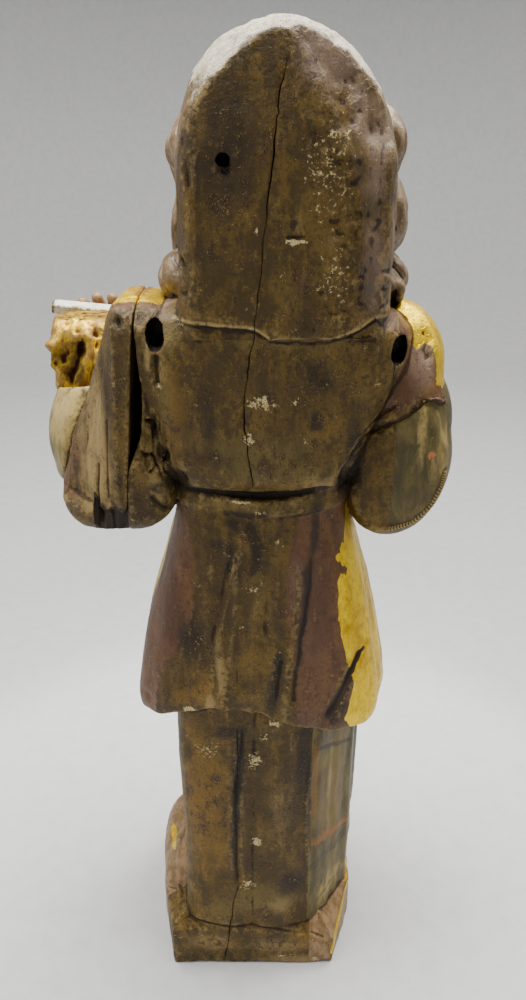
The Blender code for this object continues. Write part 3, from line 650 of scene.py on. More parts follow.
def headForm():
    # an egg of a head with calm, even features laid over its front
    up = np.concatenate([np.linspace(-0.0570, 0.0160, 120), np.linspace(0.018, 0.0545, 18)])
    half, front = throughRows(up, face["profile"]).T[:, :, None]
    even = np.arange(240) * fullTurn / 240
    angle = (even - 0.5 * np.cos(even))[None, :]  # closer together towards the face
    sides = [(0, half), (math.pi, half), (math.pi / 2, 0.045), (1.5 * math.pi, front)]
    radius = polygonRadius(angle, sides, 2.3)
    x, y = radius * np.cos(angle), radius * np.sin(angle)
    height = up[:, None]
    facing = np.where(y < 0, rise(-np.sin(angle), 0.2, 0.55), 0)
    for side, place, wide, tall, out in face["features"]:
        both = bell(np.abs(x) - side, wide) if side else bell(x, wide)
        y = y - out * both * bell(height - place, tall) * facing
    side, place, wide, tall = face["eye"]
    u, v = (np.abs(x) - side) / wide, (height - place) / tall
    ball = np.sqrt(np.clip(1.15 - u**2 - 0.7 * v**2, 0, None))
    y = y - 0.0042 * ball * facing
    arch = np.sqrt(np.clip(1 - u**2, 0, None))
    inEye = rise(1.08 - np.abs(u), 0, 0.15) * facing
    y = y - 0.0010 * bell(v - 0.95 * arch, 0.20) * inEye + 0.0011 * bell(v - 1.55 * arch, 0.22) * inEye
    y = y - 0.0007 * bell(v + 0.80 * arch, 0.18) * inEye
    points = np.stack([x, y, np.broadcast_to(height, x.shape)], axis=2)
    c, s = math.cos(figure["headTurn"]), math.sin(figure["headTurn"])
    return points @ np.array([(c, s, 0), (-s, c, 0), (0, 0, 1)]) + figure["headCentre"]


def neckForm():
    path = metres([(-160, 80, 5000), (-180, 40, 5250), (-200, 0, 5600)])
    return carried(path, [(0.030, 0.027), (0.0235, 0.022), (0.023, 0.022)], 24, 60, up=(0, -1, 0))


def collarForm():
    # the rolled neck of the blouse
    turn = np.linspace(0, fullTurn, 90, endpoint=False)
    path = np.stack([-0.016 + 0.0335 * np.cos(turn), -0.004 + 0.028 * np.sin(turn),
                     0.5165 + 0.003 * np.sin(turn) + 0.0005 * np.sin(turn * 13)], axis=1)
    rings = []
    for a in np.linspace(0, fullTurn, 14, endpoint=False):
        out = path - (-0.016, -0.004, 0)
        out[:, 2] = 0
        out /= np.linalg.norm(out, axis=1)[:, None]
        rings.append(path + out * 0.0034 * math.cos(a) + np.array([0, 0, 0.0030 * math.sin(a)]))
    return np.array(rings)


hair = {
    "centre": (-0.019, 0.017),
    "stations": metres([  # height, left, right, back before sawing, front
        (5000, 400, -765, 780, -100), (5400, 375, -775, 800, -220), (5750, 370, -775, 830, -300),
        (6000, 370, -755, 860, -370), (6200, 330, -700, 820, -460), (6350, 275, -630, 760, -500),
        (6445, 205, -550, 745, -475), (6515, 110, -460, 705, -390), (6565, -25, -365, 580, -280),
        (6590, -100, -290, 420, -130), (6600, -150, -240, 300, -10),
    ]),
    "square": (6.0, 6.0, 5.4, 4.8, 3.9, 3.2, 2.4, 2.1, 2.0, 2.0, 2.0),  # how square the section is there
    "lobes": [  # centre, half sizes, strands, twist, groove depth
        ((-0.0720, 0.016, 0.602), (0.0140, 0.0300, 0.0185), 5, 2.2, 0.10),
        ((-0.0745, 0.016, 0.5635), (0.0157, 0.0310, 0.0240), 5, 2.6, 0.12),
        ((-0.0780, 0.012, 0.5275), (0.0152, 0.0300, 0.0165), 6, 5.0, 0.20),
        ((0.0330, 0.016, 0.598), (0.0128, 0.0240, 0.0130), 4, 2.0, 0.10),
        ((0.0385, 0.013, 0.530), (0.0152, 0.0250, 0.0150), 5, 4.0, 0.16),
    ],
    "locks": metres([  # ringlets that frame the face and lie on the shoulders: path, then half sizes
        ([(-550, -300, 6280), (-630, -240, 6060), (-640, -290, 5850), (-660, -260, 5630),
          (-630, -300, 5430), (-610, -240, 5260)], [80, 150, 125, 160, 130, 85]),
        ([(140, -300, 6280), (225, -240, 6060), (235, -290, 5850), (255, -260, 5630),
          (230, -300, 5430), (210, -240, 5260)], [80, 150, 125, 155, 130, 85]),
        ([(-700, -40, 6220), (-760, -20, 5980), (-740, -60, 5770), (-770, -40, 5560),
          (-760, -80, 5370), (-800, -60, 5200)], [70, 125, 105, 135, 110, 100]),
        ([(290, -40, 6220), (345, -20, 5980), (330, -60, 5770), (350, -40, 5560),
          (360, -80, 5370), (420, -60, 5200)], [70, 115, 100, 120, 110, 90]),
        ([(-450, -460, 6400), (-540, -420, 6220), (-565, -380, 6030), (-560, -360, 5880)],
         [60, 90, 90, 50]),
        ([(30, -460, 6400), (110, -420, 6220), (145, -380, 6030), (145, -360, 5880)],
         [60, 90, 90, 50]),
    ]),
    "facet": ((-0.0215, 0.648), (-0.0415, 0.611), 0.40),  # a slanting cut beyond this line, and its slope
}


def sawn(points):
    # y held to the back plane, which slopes forward over the crown and falls away beyond the facet's line
    x, y, z = np.moveaxis(points, -1, 0)
    (x0, z0), (x1, z1), slope = hair["facet"]
    run = math.hypot(x1 - x0, z1 - z0)
    past = ((x - x0) * (z1 - z0) - (z - z0) * (x1 - x0)) / run
    limit = figure["backPlane"] - figure["backLean"] * np.clip(z - figure["crownStart"], 0, None)
    limit = limit - slope * np.clip(past, 0, None) * rise(z, 0.588, 0.612)
    limit = limit - 0.12 * np.clip(x - 0.024, 0, None) * rise(z, 0.585, 0.60)
    return np.stack([x, np.minimum(y, limit), z], axis=-1)


def hairForms():
    levels = np.concatenate([np.linspace(0.506, 0.620, 70), np.linspace(0.6215, 0.652, 34),
                             np.linspace(0.653, 0.66, 16)])
    heights = [row[0] for row in hair["stations"]]
    square = throughRows(levels, np.column_stack([heights, hair["square"]]))[:, 0]

    def relief(angle, height):
        # combed strands on the crown and sides, none on the sawn back
        side = rise(0.8 - np.sin(angle), 0, 0.25)
        y = 0.05 * np.sin(angle) + 0.0035 * np.sin(height * 95)
        comb = np.abs(np.cos(math.pi * y / 0.0068)) ** 0.7 - 0.6
        return 0.0013 * comb * side * rise(height, 0.50, 0.53)
    made = [("hair", sawn(column(hair["centre"], hair["stations"], levels, 360, square, relief=relief)))]
    for centre, radii, *grooves in hair["lobes"]:
        made.append(("hair", sawn(egg(centre, radii, 46, 80, relief=strands(*grooves)))))
    for path, sizes in hair["locks"]:
        lock = carried(path, [(s, s * 1.05) for s in sizes], 110, 66, up=(0.3, 1, 0),
                       relief=strands(5, 15 if len(sizes) > 4 else 6, 0.17))
        made.append(("hair", rounded(lock)))
    return made


shoulderHem = metres([  # the cape's lower edge over the sleeve: x, height
    (-1300, 4560), (-1200, 4600), (-1110, 4655), (-1060, 4665), (-1010, 4650), (-971, 4620), (-912, 4575),
    (-836, 4532), (-758, 4490), (-650, 4450), (-400, 4400),
])


def rightShoulderForm():
    # the cloth over the shoulder, its lower edge held up to a curve
    path = metres([(-760, 200, 5050), (-895, 190, 4900), (-925, 220, 4680), (-960, 250, 4460)])
    sizes = metres([(180, 130), (250, 260), (250, 310), (250, 330)])
    rings = carried(path, sizes, 60, 130, up=(0, -1, 0), crispness=2.5)
    x, y, z = np.moveaxis(rings, 2, 0)
    hem = throughRows(x.ravel(), shoulderHem)[:, 0].reshape(x.shape)
    return np.stack([x, y, np.maximum(z, hem + 0.0004 * np.sin(x * 900))], axis=2)


def upperSleeveForm():
    return egg((-0.0925, 0.0225, 0.4395), (0.0325, 0.0345, 0.0465), 60, 110, 0.9)


def bellSleeve(stations, elbow, forward, up, relief=None, around=150):
    # Rings of w*cos(a) across and h*sin(a) above, from the elbow to the open mouth, whose rim turns
    # back into a hollow
    forward = np.array(forward, float) / np.linalg.norm(forward)
    across = np.cross(forward, np.array(up, float))
    across /= np.linalg.norm(across)
    above = np.cross(across, forward)
    angle = (np.arange(around) * fullTurn / around)[None, :]
    reach = stations[-1][0]
    along = reach * (1 - np.cos(np.linspace(0.05, 1, 70) * math.pi / 2))
    wide, tall = throughRows(along, stations).T
    inside, drawn = np.array([  # the hollow, as shares of the reach and of the mouth's size
        (1.000, 0.985), (1.010, 0.95), (1.010, 0.91), (0.985, 0.87), (0.94, 0.84), (0.86, 0.80), (0.70, 0.72),
    ]).T
    along = np.concatenate([along, reach * inside])[:, None]
    wide, tall = (np.concatenate([size, size[-1] * drawn])[:, None] for size in (wide, tall))
    grown = 1.0 if relief is None else relief(angle, along / reach)
    return (
        np.array(elbow)
        + along[:, :, None] * forward
        + (np.cos(angle) * wide * grown)[:, :, None] * across
        + (np.sin(angle) * tall * grown)[:, :, None] * above
    )


def palmForm(wrist, knuckles, thin, half=(0.0100, 0.0165), deep=(0.0085, 0.0070)):
    middle = tuple((np.array(wrist) + np.array(knuckles)) / 2)
    sizes = [(half[0], deep[0]), ((half[0] + half[1]) / 2, deep[0]), (half[1], deep[1])]
    return rounded(carried([wrist, middle, knuckles], sizes, 20, 44, up=thin, crispness=2.6))


def fingerForm(points, up, thick=0.0044):
    sizes = [(thick, thick)] * (len(points) - 1) + [(thick * 0.82, thick * 0.82)]

    def relief(angle, t):
        # a little wider at each knuckle
        return 1 + 0.07 * bell(t - 0.36, 0.07) + 0.05 * bell(t - 0.70, 0.06) - 0.03 * bell(t - 0.54, 0.06)
    return rounded(carried(points, sizes, 34, 26, up=up, relief=relief))


rightSleeve = {
    "stations": metres([  # distance forward from the elbow, half width, half height
        (0, 90, 140), (40, 225, 330), (130, 300, 435), (300, 352, 490),
        (480, 372, 510), (620, 375, 510), (740, 360, 485),
    ]),
    "elbow": (-0.0905, 0.0590, 0.4180),
    "forward": (-0.02, -1, 0.0),
    "up": (-0.16, 0, 1),
    "fold": metres([(-1030, 4700), (-1065, 4450), (-1060, 4150), (-1000, 3930)]),  # x, height down its back
}


def rightArmForms():
    def relief(angle, t):
        fan = np.sin(angle * 6 + 9 * t) * 0.016 * rise(t, 0.25, 0.9)
        crease = 0.02 * bell(halfTurned(angle - 0.4), 0.12) * rise(t, 0.2, 0.6)
        return 1 + fan * rise(np.cos(angle - math.pi), -0.6, 0.5) - crease
    made = [("sleeve", bellSleeve(rightSleeve["stations"], rightSleeve["elbow"], rightSleeve["forward"],
                                  rightSleeve["up"], relief))]
    path = metres([(-900, 40, 4140), (-880, -280, 4190), (-800, -520, 4310), (-670, -725, 4440)])
    sizes = metres([(210, 230), (175, 190), (130, 145), (90, 100)])
    made.append(("flesh", carried(path, sizes, 40, 60)))
    made.append(("flesh", palmForm((-0.070, -0.0695, 0.442), (-0.046, -0.0875, 0.455), (0.5, -1, 0.2))))
    for k in range(4):
        up = 0.0085 * (1.5 - k)
        bent = 0.002 * abs(k - 1.5)
        made.append(("flesh", fingerForm([
            (-0.051, -0.0840, 0.4535 + up),
            (-0.037, -0.0915, 0.4590 + up * 1.05),
            (-0.026, -0.0895, 0.4620 + up * 1.10),
            (-0.0195 - bent, -0.0795, 0.4630 + up * 1.15),
        ], (0, 0, 1))))
    thumb = metres([(-620, -790, 4560), (-500, -830, 4690), (-390, -800, 4760), (-320, -740, 4790)])
    made.append(("flesh", fingerForm(thumb, (0, -1, 0), 0.0048)))
    return made


arm = {
    "voxel": 0.00075,
    "triangles": 60000,
    "centre": (0.0660, 0.022),
    "lean": (0.17, 0),
    "bevels": [(math.radians(42), 0.0345)],
    "stations": metres([  # the flat-backed upper arm, from the elbow up to the shoulder
        (3770, 980, 640, 440, 80), (3830, 1160, 560, 530, 0),
        (3970, 1240, 455, 580, -60), (4080, 1220, 445, 600, -80),
        (4310, 1140, 490, 615, -100), (4480, 1055, 530, 625, -110),
        (4670, 970, 545, 640, -120), (4780, 932, 540, 645, -120),
        (5000, 850, 480, 650, -110), (5120, 812, 460, 620, -80),
        (5200, 755, 520, 500, 0), (5225, 715, 580, 380, 80),
    ]),
    "sleeve": metres([  # distance up from the elbow, half width, half height
        (0, 60, 60), (80, 220, 240), (220, 285, 330), (400, 305, 360),
        (560, 280, 340), (700, 215, 280),
    ]),
    "elbow": (0.1023, -0.0013, 0.3846),
    "wrist": (0.1090, -0.030),
    "cuff": metres([  # height, left, right, back, front
        (4320, 1240, 950, -110, -450), (4560, 1300, 890, -70, -490),
        (4720, 1312, 860, -70, -510), (4850, 1308, 880, -120, -510),
        (4925, 1298, 905, -160, -500), (4965, 1285, 920, -200, -490),
    ]),
    "hollows": (  # in the cuff: direction, height, half width in radians, half height, depth
        (1.30, 0.4720, 0.46, 0.0150, 0.0046), (0.55, 0.4700, 0.24, 0.0110, 0.0036),
        (2.30, 0.4720, 0.22, 0.0120, 0.0030),
    ),
}


def upperArmForm():
    levels = np.linspace(0.377, 0.5225, 150)
    return column(arm["centre"], arm["stations"], levels, 200, 5.0, arm["bevels"], lean=arm["lean"])


def hollowReach(angle, height, place, middle, wide, tall):
    # 1 on the uneven outline of one hollow of the cuff, less inside, and the direction from its middle
    u, v = halfTurned(angle - place) / wide, (height - middle) / tall
    around = np.arctan2(v, u)
    return np.hypot(u, v) * (1 + 0.17 * np.cos(3 * around + 1.0) + 0.08 * np.cos(5 * around)), around


def leftArmForms():
    def sleeveFolds(angle, t):
        waves = 0.040 * np.sin(angle * 4 + 7 * t) + 0.016 * np.sin(angle * 9 + 3 * np.sin(5 * t))
        return 1 + waves * rise(t, 0.1, 0.6) * rise(np.cos(angle), -0.7, 0.4)

    def crumpled(angle, height):
        # two arched hollows with rolled rims on the side that shows behind, and sharp pleats all round
        total = 0.0007 * np.sin(angle * 7 + height * 160 + np.sin(angle * 3)) * rise(height, 0.44, 0.46)
        for place, middle, wide, tall, deep in arm["hollows"]:
            reach, around = hollowReach(angle, height, place, middle, wide, tall)
            arch = rise(height - middle + tall * 0.6, 0, tall * 0.5) * (0.75 + 0.35 * np.sin(2 * around))
            floor = 0.80 + 0.20 * np.sin(14 * (angle - place) - 260 * (height - middle))
            rim = 0.0026 * bell(reach - 1.2, 0.22) * arch
            total = total - deep * floor * rise(1.05 - reach, 0, 0.75) + rim
        return total
    sleeve = bellSleeve(arm["sleeve"], arm["elbow"], (0.06, -0.26, 1.0), (0, 1, 0), sleeveFolds)
    levels = np.linspace(0.432, 0.4965, 76)
    cuff = column(arm["wrist"], arm["cuff"], levels, 160, 4.5, relief=crumpled)
    made = [("arm", onArmSide(upperArmForm())), ("sleeve", sleeve), ("cuff", cuff)]
    wrist, knuckles = (0.107, -0.042, 0.466), (0.1035, -0.0660, 0.4860)
    made.append(("flesh", palmForm(wrist, knuckles, (0, -1, -0.8), (0.014, 0.019))))
    for k in range(4):
        x = 0.1190 - 0.0107 * k
        tip = (0.4975, 0.5015, 0.5010, 0.4960)[k]
        made.append(("flesh", fingerForm([
            (x - 0.0005, -0.0630, 0.4810), (x - 0.0008, -0.0725, 0.4870),
            (x - 0.0006, -0.0745, 0.4945), (x, -0.0695, tip),
        ], (1, 0, 0))))
    return made


# relief: what the chisel, the saw, time and insects left on each block

# two paths (x, height) in tenths of a millimetre: the right sleeve's lower edge and the top of the belt
hemLine = [(-1185, 4210), (-1168, 4110), (-1110, 3975), (-1000, 3870), (-880, 3825), (-740, 3830)]
tieLine = [(374, 4105), (296, 4122), (140, 4108), (27, 4098), (-74, 4089), (-181, 4094), (-300, 4113),
           (-417, 4150), (-510, 4150)]
backMarks = {
    "step": metres([  # across the back, where the hair ends and stands over the torso: x, height
        (-760, 5165), (-658, 5159), (-601, 5121), (-500, 5069), (-367, 5047), (-241, 5047), (-112, 5062),
        (-32, 5107), (80, 5121), (241, 5136), (400, 5150),
    ]),
    "stepDepth": 0.0013,
    "lines": metres([  # path of (x, height), half width, how far it stands out
        ([(63, 3792), (100, 3598), (147, 3398), (216, 3061), (283, 2612)], 34, 13),
        ([(130, 3720), (180, 3398), (260, 3061), (340, 2640)], 50, -10),
        ([(-393, 3807), (-368, 3453), (-322, 3118), (-284, 2719), (-275, 2583)], 34, -15),
        ([(-300, 3700), (-285, 3300), (-240, 2900), (-225, 2600)], 50, 6),
        ([(-197, 2973), (-181, 2818), (-137, 2495)], 30, -9),
        ([(-745, 2999), (-698, 2912), (-653, 2816), (-609, 2706), (-555, 2590), (-500, 2480)], 32, -22),
        ([(-780, 3010), (-738, 2933), (-701, 2850), (-655, 2750), (-605, 2620)], 24, 13),
        ([(57, 2420), (65, 2223), (91, 1975), (115, 1711), (119, 1437), (116, 1009), (112, 861)], 26, -12),
        ([(-487, 2272), (-463, 2120), (-427, 1946), (-395, 1681), (-390, 1465), (-422, 974), (-422, 517)],
         20, 12),
        ([(637, 551), (555, 440), (381, 460), (165, 426), (-158, 392), (-466, 312), (-625, 224)], 16, -9),
        ([(-1060, 4655), (-1010, 4640), (-971, 4610), (-912, 4565), (-836, 4522), (-758, 4480),
         (-680, 4450), (-619, 4370), (-567, 4270)], 22, -22),
        ([(-870, 4641), (-780, 4568), (-703, 4526), (-659, 4483)], 16, -14),
        ([(-990, 5040), (-1040, 4980), (-1010, 4930), (-1045, 4870)], 32, -16),
        ([(-634, 6229), (-663, 6076), (-687, 5918), (-663, 5755), (-633, 5561), (-613, 5450), (-584, 5306),
         (-613, 5158)], 40, -9),
        ([(-671, 5427), (-781, 5395), (-842, 5304), (-830, 5168), (-733, 5124), (-644, 5223)], 26, -26),
        ([(-700, 5335), (-745, 5310), (-750, 5235), (-700, 5215)], 22, -22),
        ([(345, 6070), (300, 5940), (290, 5800)], 24, -12),
        ([(376, 5480), (335, 5420), (330, 5330), (360, 5260)], 24, -22),
        ([(500, 3950), (560, 4010), (600, 4080)], 22, -16),
        ([(513, 4970), (516, 4870), (507, 4783)], 21, -26),
        (tieLine, 19, -18),
        (hemLine, 26, 14),
    ]),
    "dents": metres([  # place, half sizes along x, y, z, depth
        ((430, 640, 4180), (60, 120, 70), 70),
        ((-590, 640, 4190), (52, 120, 80), 80),
        ((-186, 700, 6530), (26, 40, 26), 12),
        ((-245, 740, 5585), (40, 40, 10), 10),
        ((-35, 740, 5765), (28, 40, 58), 5),
        ((-300, 740, 6130), (34, 40, 40), -5),
        ((720, 600, 2560), (50, 100, 40), 15),
        ((600, 600, 5160), (34, 120, 36), 18),
        ((-810, 580, 5020), (44, 100, 50), 12),
        ((480, 680, 5100), (60, 100, 90), 22),
        ((108, 745, 5905), (30, 40, 34), 26),
    ]),
    "cracks": metres([  # path of (x, height), width at the surface, depth
        ([(-187, 6377), (-163, 6241), (-135, 6026), (-114, 5814), (-87, 5562), (-57, 5328), (-34, 5132),
         (-23, 5026), (-2, 4952), (24, 4684), (18, 4486), (-8, 4281), (-20, 4165)], 8.5, 140),
        ([(111, 874), (140, 692), (176, 410), (195, 247), (240, -20)], 10, 120),
        ([(104, 2460), (92, 2200), (100, 1960), (118, 1800)], 6, 60),
        ([(-814, 4906), (-814, 4844), (-802, 4756), (-776, 4692), (-743, 4586)], 8, 100),
    ]),
    "sockets": metres([(512, 5060), (-838, 4968)]),
    "socketSize": metres((106, 176, 300)),
    "hole": metres((119, 5947, 39, 140)),
    "galleries": metres(((545, 4400), (85, 190), 30)),  # middle, half sizes, depth
}


def weightsOf(mesh, forms, edges):
    # how far each point belongs to the forms of each name, softened over two rounds of neighbours
    mark = np.clip(np.rint(getField(mesh, "form")).astype(int), 0, len(forms) - 1)
    names = np.array([name for name, _ in forms])
    return {name: relaxed((names[mark] == name).astype(float), edges, 2) for name in dict.fromkeys(names)}


def convexity(points, normals, edges, rounds):
    # how far a point stands proud of its surroundings, along its normal
    return ((points - relaxed(points, edges, rounds)) * normals).sum(1)


def setEdges(mesh, edges):
    # -1 in a crease, 1 on a sharp ridge: how proud each point stands, near by and a little further off
    points, normals = getPoints(mesh), getNormals(mesh)
    near = relaxed(points, edges, 3)
    far = relaxed(near, edges, 7)
    proud = ((2 * points - near - far) * normals).sum(1)
    setField(mesh, "edge", np.clip(proud / 0.0005, -1, 1))


def toolMarks(points, strength):
    # broad facets that run with the grain, a fine fibre and a slow hand-made waviness
    facets = 1 - np.abs(noise(points, 0.011, 11, stretch=(1, 1, 0.35)))
    fibre = noise(points, 0.0022, 12, stretch=(1, 1, 0.08))
    waves = noise(points, 0.035, 13)
    gouges = noise(points, 0.0050, 14, 2, stretch=(1, 1, 0.6))
    return strength * (0.0006 * (facets - 0.6) + 0.00014 * fibre + 0.0006 * waves + 0.00028 * gouges)


def backRelief(points, normals):
    # what the carved lines and dents add along the normal, only where the wood faces the back
    facing = rise(normals[:, 1], -0.1, 0.35)
    total = np.zeros(len(points))
    for k, (path, width, depth) in enumerate(backMarks["lines"]):
        away, share = lineDistance(points, path)
        ends = 0.25 + 0.75 * rise(share, 0, 0.12) * rise(1 - share, 0, 0.12)
        total += depth * bell(away, width * (1 + 0.3 * noise(points, 0.012, 20 + k))) * ends
    for middle, half, depth in backMarks["dents"]:
        total -= depth * bell(np.linalg.norm((points - middle) / half, axis=1), 1.0)
    return total * facing


def stepped(points, weights, normals):
    # the torso's back lies lower than the hair's, with a worn lip along the edge of the hair
    x, y, z = points.T
    edge = throughRows(x, backMarks["step"])[:, 0] + 0.0005 * noise(points, 0.006, 31)
    back = rise(normals[:, 1], 0.3, 0.7) * rise(y, 0.060, 0.066) * weights["hair"]
    lip = rise(z - edge, 0, 0.0030)
    floor = figure["backPlane"] - backMarks["stepDepth"] * (1 - lip) * 0.35
    floor = floor - backMarks["stepDepth"] * 1.1 * rise(edge - z, -0.0002, 0.0006)
    floor = floor + backMarks["stepDepth"] * 1.5 * rise(x, 0.022, 0.034)
    return np.column_stack([x, np.where(back > 0.5, np.minimum(y, floor), y), z])


def galleries(points, normals):
    # a patch eaten out by insects, with deeper winding tunnels in it; the second value is where shade is
    # painted into it, darkest in the tunnels
    middle, half, depth = backMarks["galleries"]
    u = (points[:, 0] - middle[0]) / half[0]
    v = (points[:, 2] - middle[1]) / half[1]
    inside = rise(1.15 + 0.35 * noise(points, 0.008, 41) - np.hypot(u, v), 0, 0.45)
    inside = inside * rise(normals[:, 1], -0.2, 0.3) * rise(points[:, 1], 0.030, 0.045)
    winding = 1 - np.abs(noise(points, 0.0075, 42, stretch=(1.4, 1.4, 0.7)))
    tunnels = rise(winding, 0.86, 0.98)
    sunk = depth * (0.6 + 0.5 * noise(points, 0.007, 43)) + 0.005 * tunnels
    return -inside * sunk, inside * (0.25 + 0.75 * tunnels)


def crackCutter(path, width, depth, seed):
    # thin wedges along a jagged path: full width at the surface, nothing at the bottom
    path = np.array(path)
    steps = int(np.linalg.norm(np.diff(path, axis=0), axis=1).sum() / 0.0022)
    t = np.linspace(0, 1, steps)
    line = throughRows(t, np.column_stack([np.linspace(0, 1, len(path)), path]))
    here = np.column_stack([line[:, 0], np.zeros(steps), line[:, 1]])
    x = line[:, 0] + 0.0007 * noise(here, 0.007, seed) + 0.0005 * noise(here, 0.003, seed + 1)
    ends = 0.25 + 0.75 * rise(t, 0, 0.08) * rise(1 - t, 0, 0.08)
    half = width / 2 * (0.75 + 0.45 * noise(here, 0.012, seed + 2)) * ends
    bottom = 0.072 - depth * (0.8 + 0.3 * noise(here, 0.02, seed + 3))
    outside, mouth = np.full(steps, 0.090), np.full(steps, 0.0715)
    corners = [(x - half * 1.9, outside), (x + half * 1.9, outside), (x + half * 0.9, mouth),
               (x + 0.00025, bottom), (x - 0.00025, bottom), (x - half * 0.9, mouth)]
    return np.stack([np.column_stack([side, y, line[:, 1]]) for side, y in corners], axis=1)


def holeCutter(x, z, wide, tall, depth, seed, ragged=0.12):
    # an oval hole driven in from the back, its edge ragged, narrowing inwards
    around, steps = 40, 22
    angle = np.arange(around) * fullTurn / around
    rings = []
    for t in np.linspace(0, 1, steps):
        y = 0.088 + (figure["backPlane"] - depth - 0.088) * t
        ring = np.column_stack([x + wide * np.cos(angle), np.full(around, y), z + tall * np.sin(angle)])
        flare, taper = 0.10 * rise(y, 0.066, 0.074), 0.22 * rise(t, 0.5, 1) ** 2
        grown = 1 + ragged * noise(ring, 0.004, seed, 2) + flare - taper
        rings.append(np.array([x, y, z]) + (ring - (x, y, z)) * (grown[:, None] if t < 1 else 0.45))
    return np.array(rings)


def pipingForm():
    # the stitched hem that shows under the right sleeve: an outline carried round the sleeve's lower edge,
    # swelling and shrinking as sin(t) to look like the strands of a cord
    angle = np.radians(np.linspace(-104, -2, 9))
    x = -0.0915 - 0.0388 * np.cos(angle) - 0.0082 * np.sin(angle)
    z = 0.4180 - 0.0062 * np.cos(angle) + 0.0518 * np.sin(angle)
    path = np.column_stack([x, np.linspace(0.016, 0.004, 9), z])
    return carried(path, [(0.0017, 0.0024)] * 9, 190, 18, up=(0, -1, 0),
                   relief=lambda a, t: 1 + 0.16 * np.sin(t * 290 + 1.4 * np.cos(a)))


def blockOf(name, forms, voxel):
    # the forms as one skin, its edges, and how far each point belongs to the forms of each name
    obj = fused(name, forms, voxel * coarser)
    edges = getEdges(obj.data)
    return obj, edges, weightsOf(obj.data, forms, edges)


def chipEdges(mesh, points, normals, edges, seed, rough, depth):
    # the carved points put into the mesh, then what stands proud knocked back in patches where it is rough
    setPoints(mesh, points)
    worn = rise(convexity(points, normals, edges, 8), 0.0001, 0.0005)
    lost = worn * rise(noise(points, 0.007, seed, 2), 0.12, 0.4) * rough
    setPoints(mesh, points - normals * (lost * depth)[:, None])


def keptFields(mesh, weights, edges):
    setEdges(mesh, edges)
    for name, values in weights.items():
        setField(mesh, "w_" + name, values)


def shapedFigure():
    forms = [("plinth", plinthForm()), ("robe", robeForm()), ("lump", lumpForm()), ("tunic", tunicForm()),
             ("belt", beltForm()), ("torso", torsoForm()), ("face", headForm()), ("flesh", neckForm()),
             ("collar", collarForm()), ("sleeve", upperSleeveForm()), ("shoulder", rightShoulderForm()),
             ("arm", upperArmForm()), ("piping", pipingForm()), *footForms(), *hairForms(), *rightArmForms()]
    forms = [(name, onLogSide(rings)) for name, rings in forms]
    obj, edges, weights = blockOf("carvedFigure", forms, figure["voxel"])
    mesh = obj.data
    fine = weights["face"] + weights["flesh"] + weights["foot"] + weights["piping"]
    points = relaxed(getPoints(mesh), edges, 3, 0.65 - 0.35 * fine)
    x, y, z = points.T
    elbow = bell(np.linalg.norm(points - np.array(rightSleeve["elbow"]), axis=1), 0.014)
    corner = weights["hair"] * rise(x, 0.016, 0.024) * rise(y, 0.045, 0.06) * rise(z, 0.505, 0.53)
    points = relaxed(points, edges, 45, np.clip(elbow + corner, 0, 1) * 0.9)
    setPoints(mesh, points)
    normals = getNormals(mesh)
    points = stepped(points, weights, normals)
    rough = 1 - 0.85 * weights["face"] - 0.6 * weights["flesh"]
    rough = rough - 0.5 * weights["sleeve"] - 0.5 * weights["belt"]
    sunkInShade, inside = galleries(points, normals)
    depth = toolMarks(points, np.clip(rough, 0.1, 1)) + backRelief(points, normals) + sunkInShade
    front = rise(-normals[:, 1], -0.2, 0.3)
    depth += weights["torso"] * front * 0.0012 * noise(points, 0.02, 51, stretch=(1.6, 1, 0.5))
    combed = weights["hair"] * (1 - rise(normals[:, 1], 0.3, 0.8))
    depth += combed * 0.0007 * noise(points, 0.004, 52, stretch=(1, 1, 0.3))
    facet = weights["hair"] * rise(-points[:, 0], 0.026, 0.04) * rise(normals[:, 1], 0.2, 0.5)
    scarred = 0.0007 * noise(points, 0.006, 58, 3) - 0.0006 * rise(noise(points, 0.009, 59, 2), 0.1, 0.4)
    depth += facet * scarred
    sleeveBack = weights["sleeve"] * rise(points[:, 1], 0.03, 0.05)
    fold, _ = lineDistance(points, rightSleeve["fold"])
    depth += sleeveBack * (0.0016 * bell(fold, 0.0050) + 0.0007 * noise(points, 0.022, 61))
    chipEdges(mesh, points + normals * depth[:, None], normals, edges, 53, np.clip(rough, 0, 1), 0.0008)
    setField(mesh, "sunkInShade", inside)
    keptFields(mesh, weights, edges)
    thinned(obj, figure["triangles"] // fewer)
    cutters = [crackCutter(*crack, 60 + 7 * k) for k, crack in enumerate(backMarks["cracks"])]
    wide, tall, deep = backMarks["socketSize"]
    for k, (x, z) in enumerate(backMarks["sockets"]):
        cutters.append(holeCutter(x, z, wide / 2, tall / 2, deep, 90 + k))
    x, z, half, deep = backMarks["hole"]
    cutters.append(holeCutter(x, z, half * 0.85, half * 0.92, deep, 95, 0.45))
    cutters.append(luteSeat(lute["play"]))
    cut(obj, cutters)
    print("figure carved:", len(obj.data.vertices), "points")
    return obj


armMarks = {
    "ridge": metres([(745, 5120), (760, 4800), (775, 4400), (800, 4050)]),
    "lines": metres([  # path of (x, height), half width, how far it stands out
        ([(855, 4960), (900, 4700), (945, 4420), (980, 4150)], 22, -9),
        ([(830, 4600), (850, 4300), (862, 4020)], 12, -8),
        ([(930, 4280), (950, 4080), (945, 3960)], 16, -22),
    ]),
    "broken": metres([  # the ragged line at the elbow below which the back has broken away
        (650, 3975), (728, 3966), (745, 3985), (766, 3949), (790, 3962), (812, 3990),
        (845, 3978), (875, 3953), (900, 3978), (925, 3992), (948, 4050), (962, 4048),
    ]),
    "brokenTo": 0.0430,     # how far in, measured from the middle of the figure
    "foot": metres([(4050, 800), (4400, 775), (4800, 760), (5120, 745)]),  # where the slope starts: height, x
    "slope": 0.26,          # how fast the back falls away outside the ridge
    "pit": metres(((722, 620, 5120), (24, 100, 36), 30)),
}


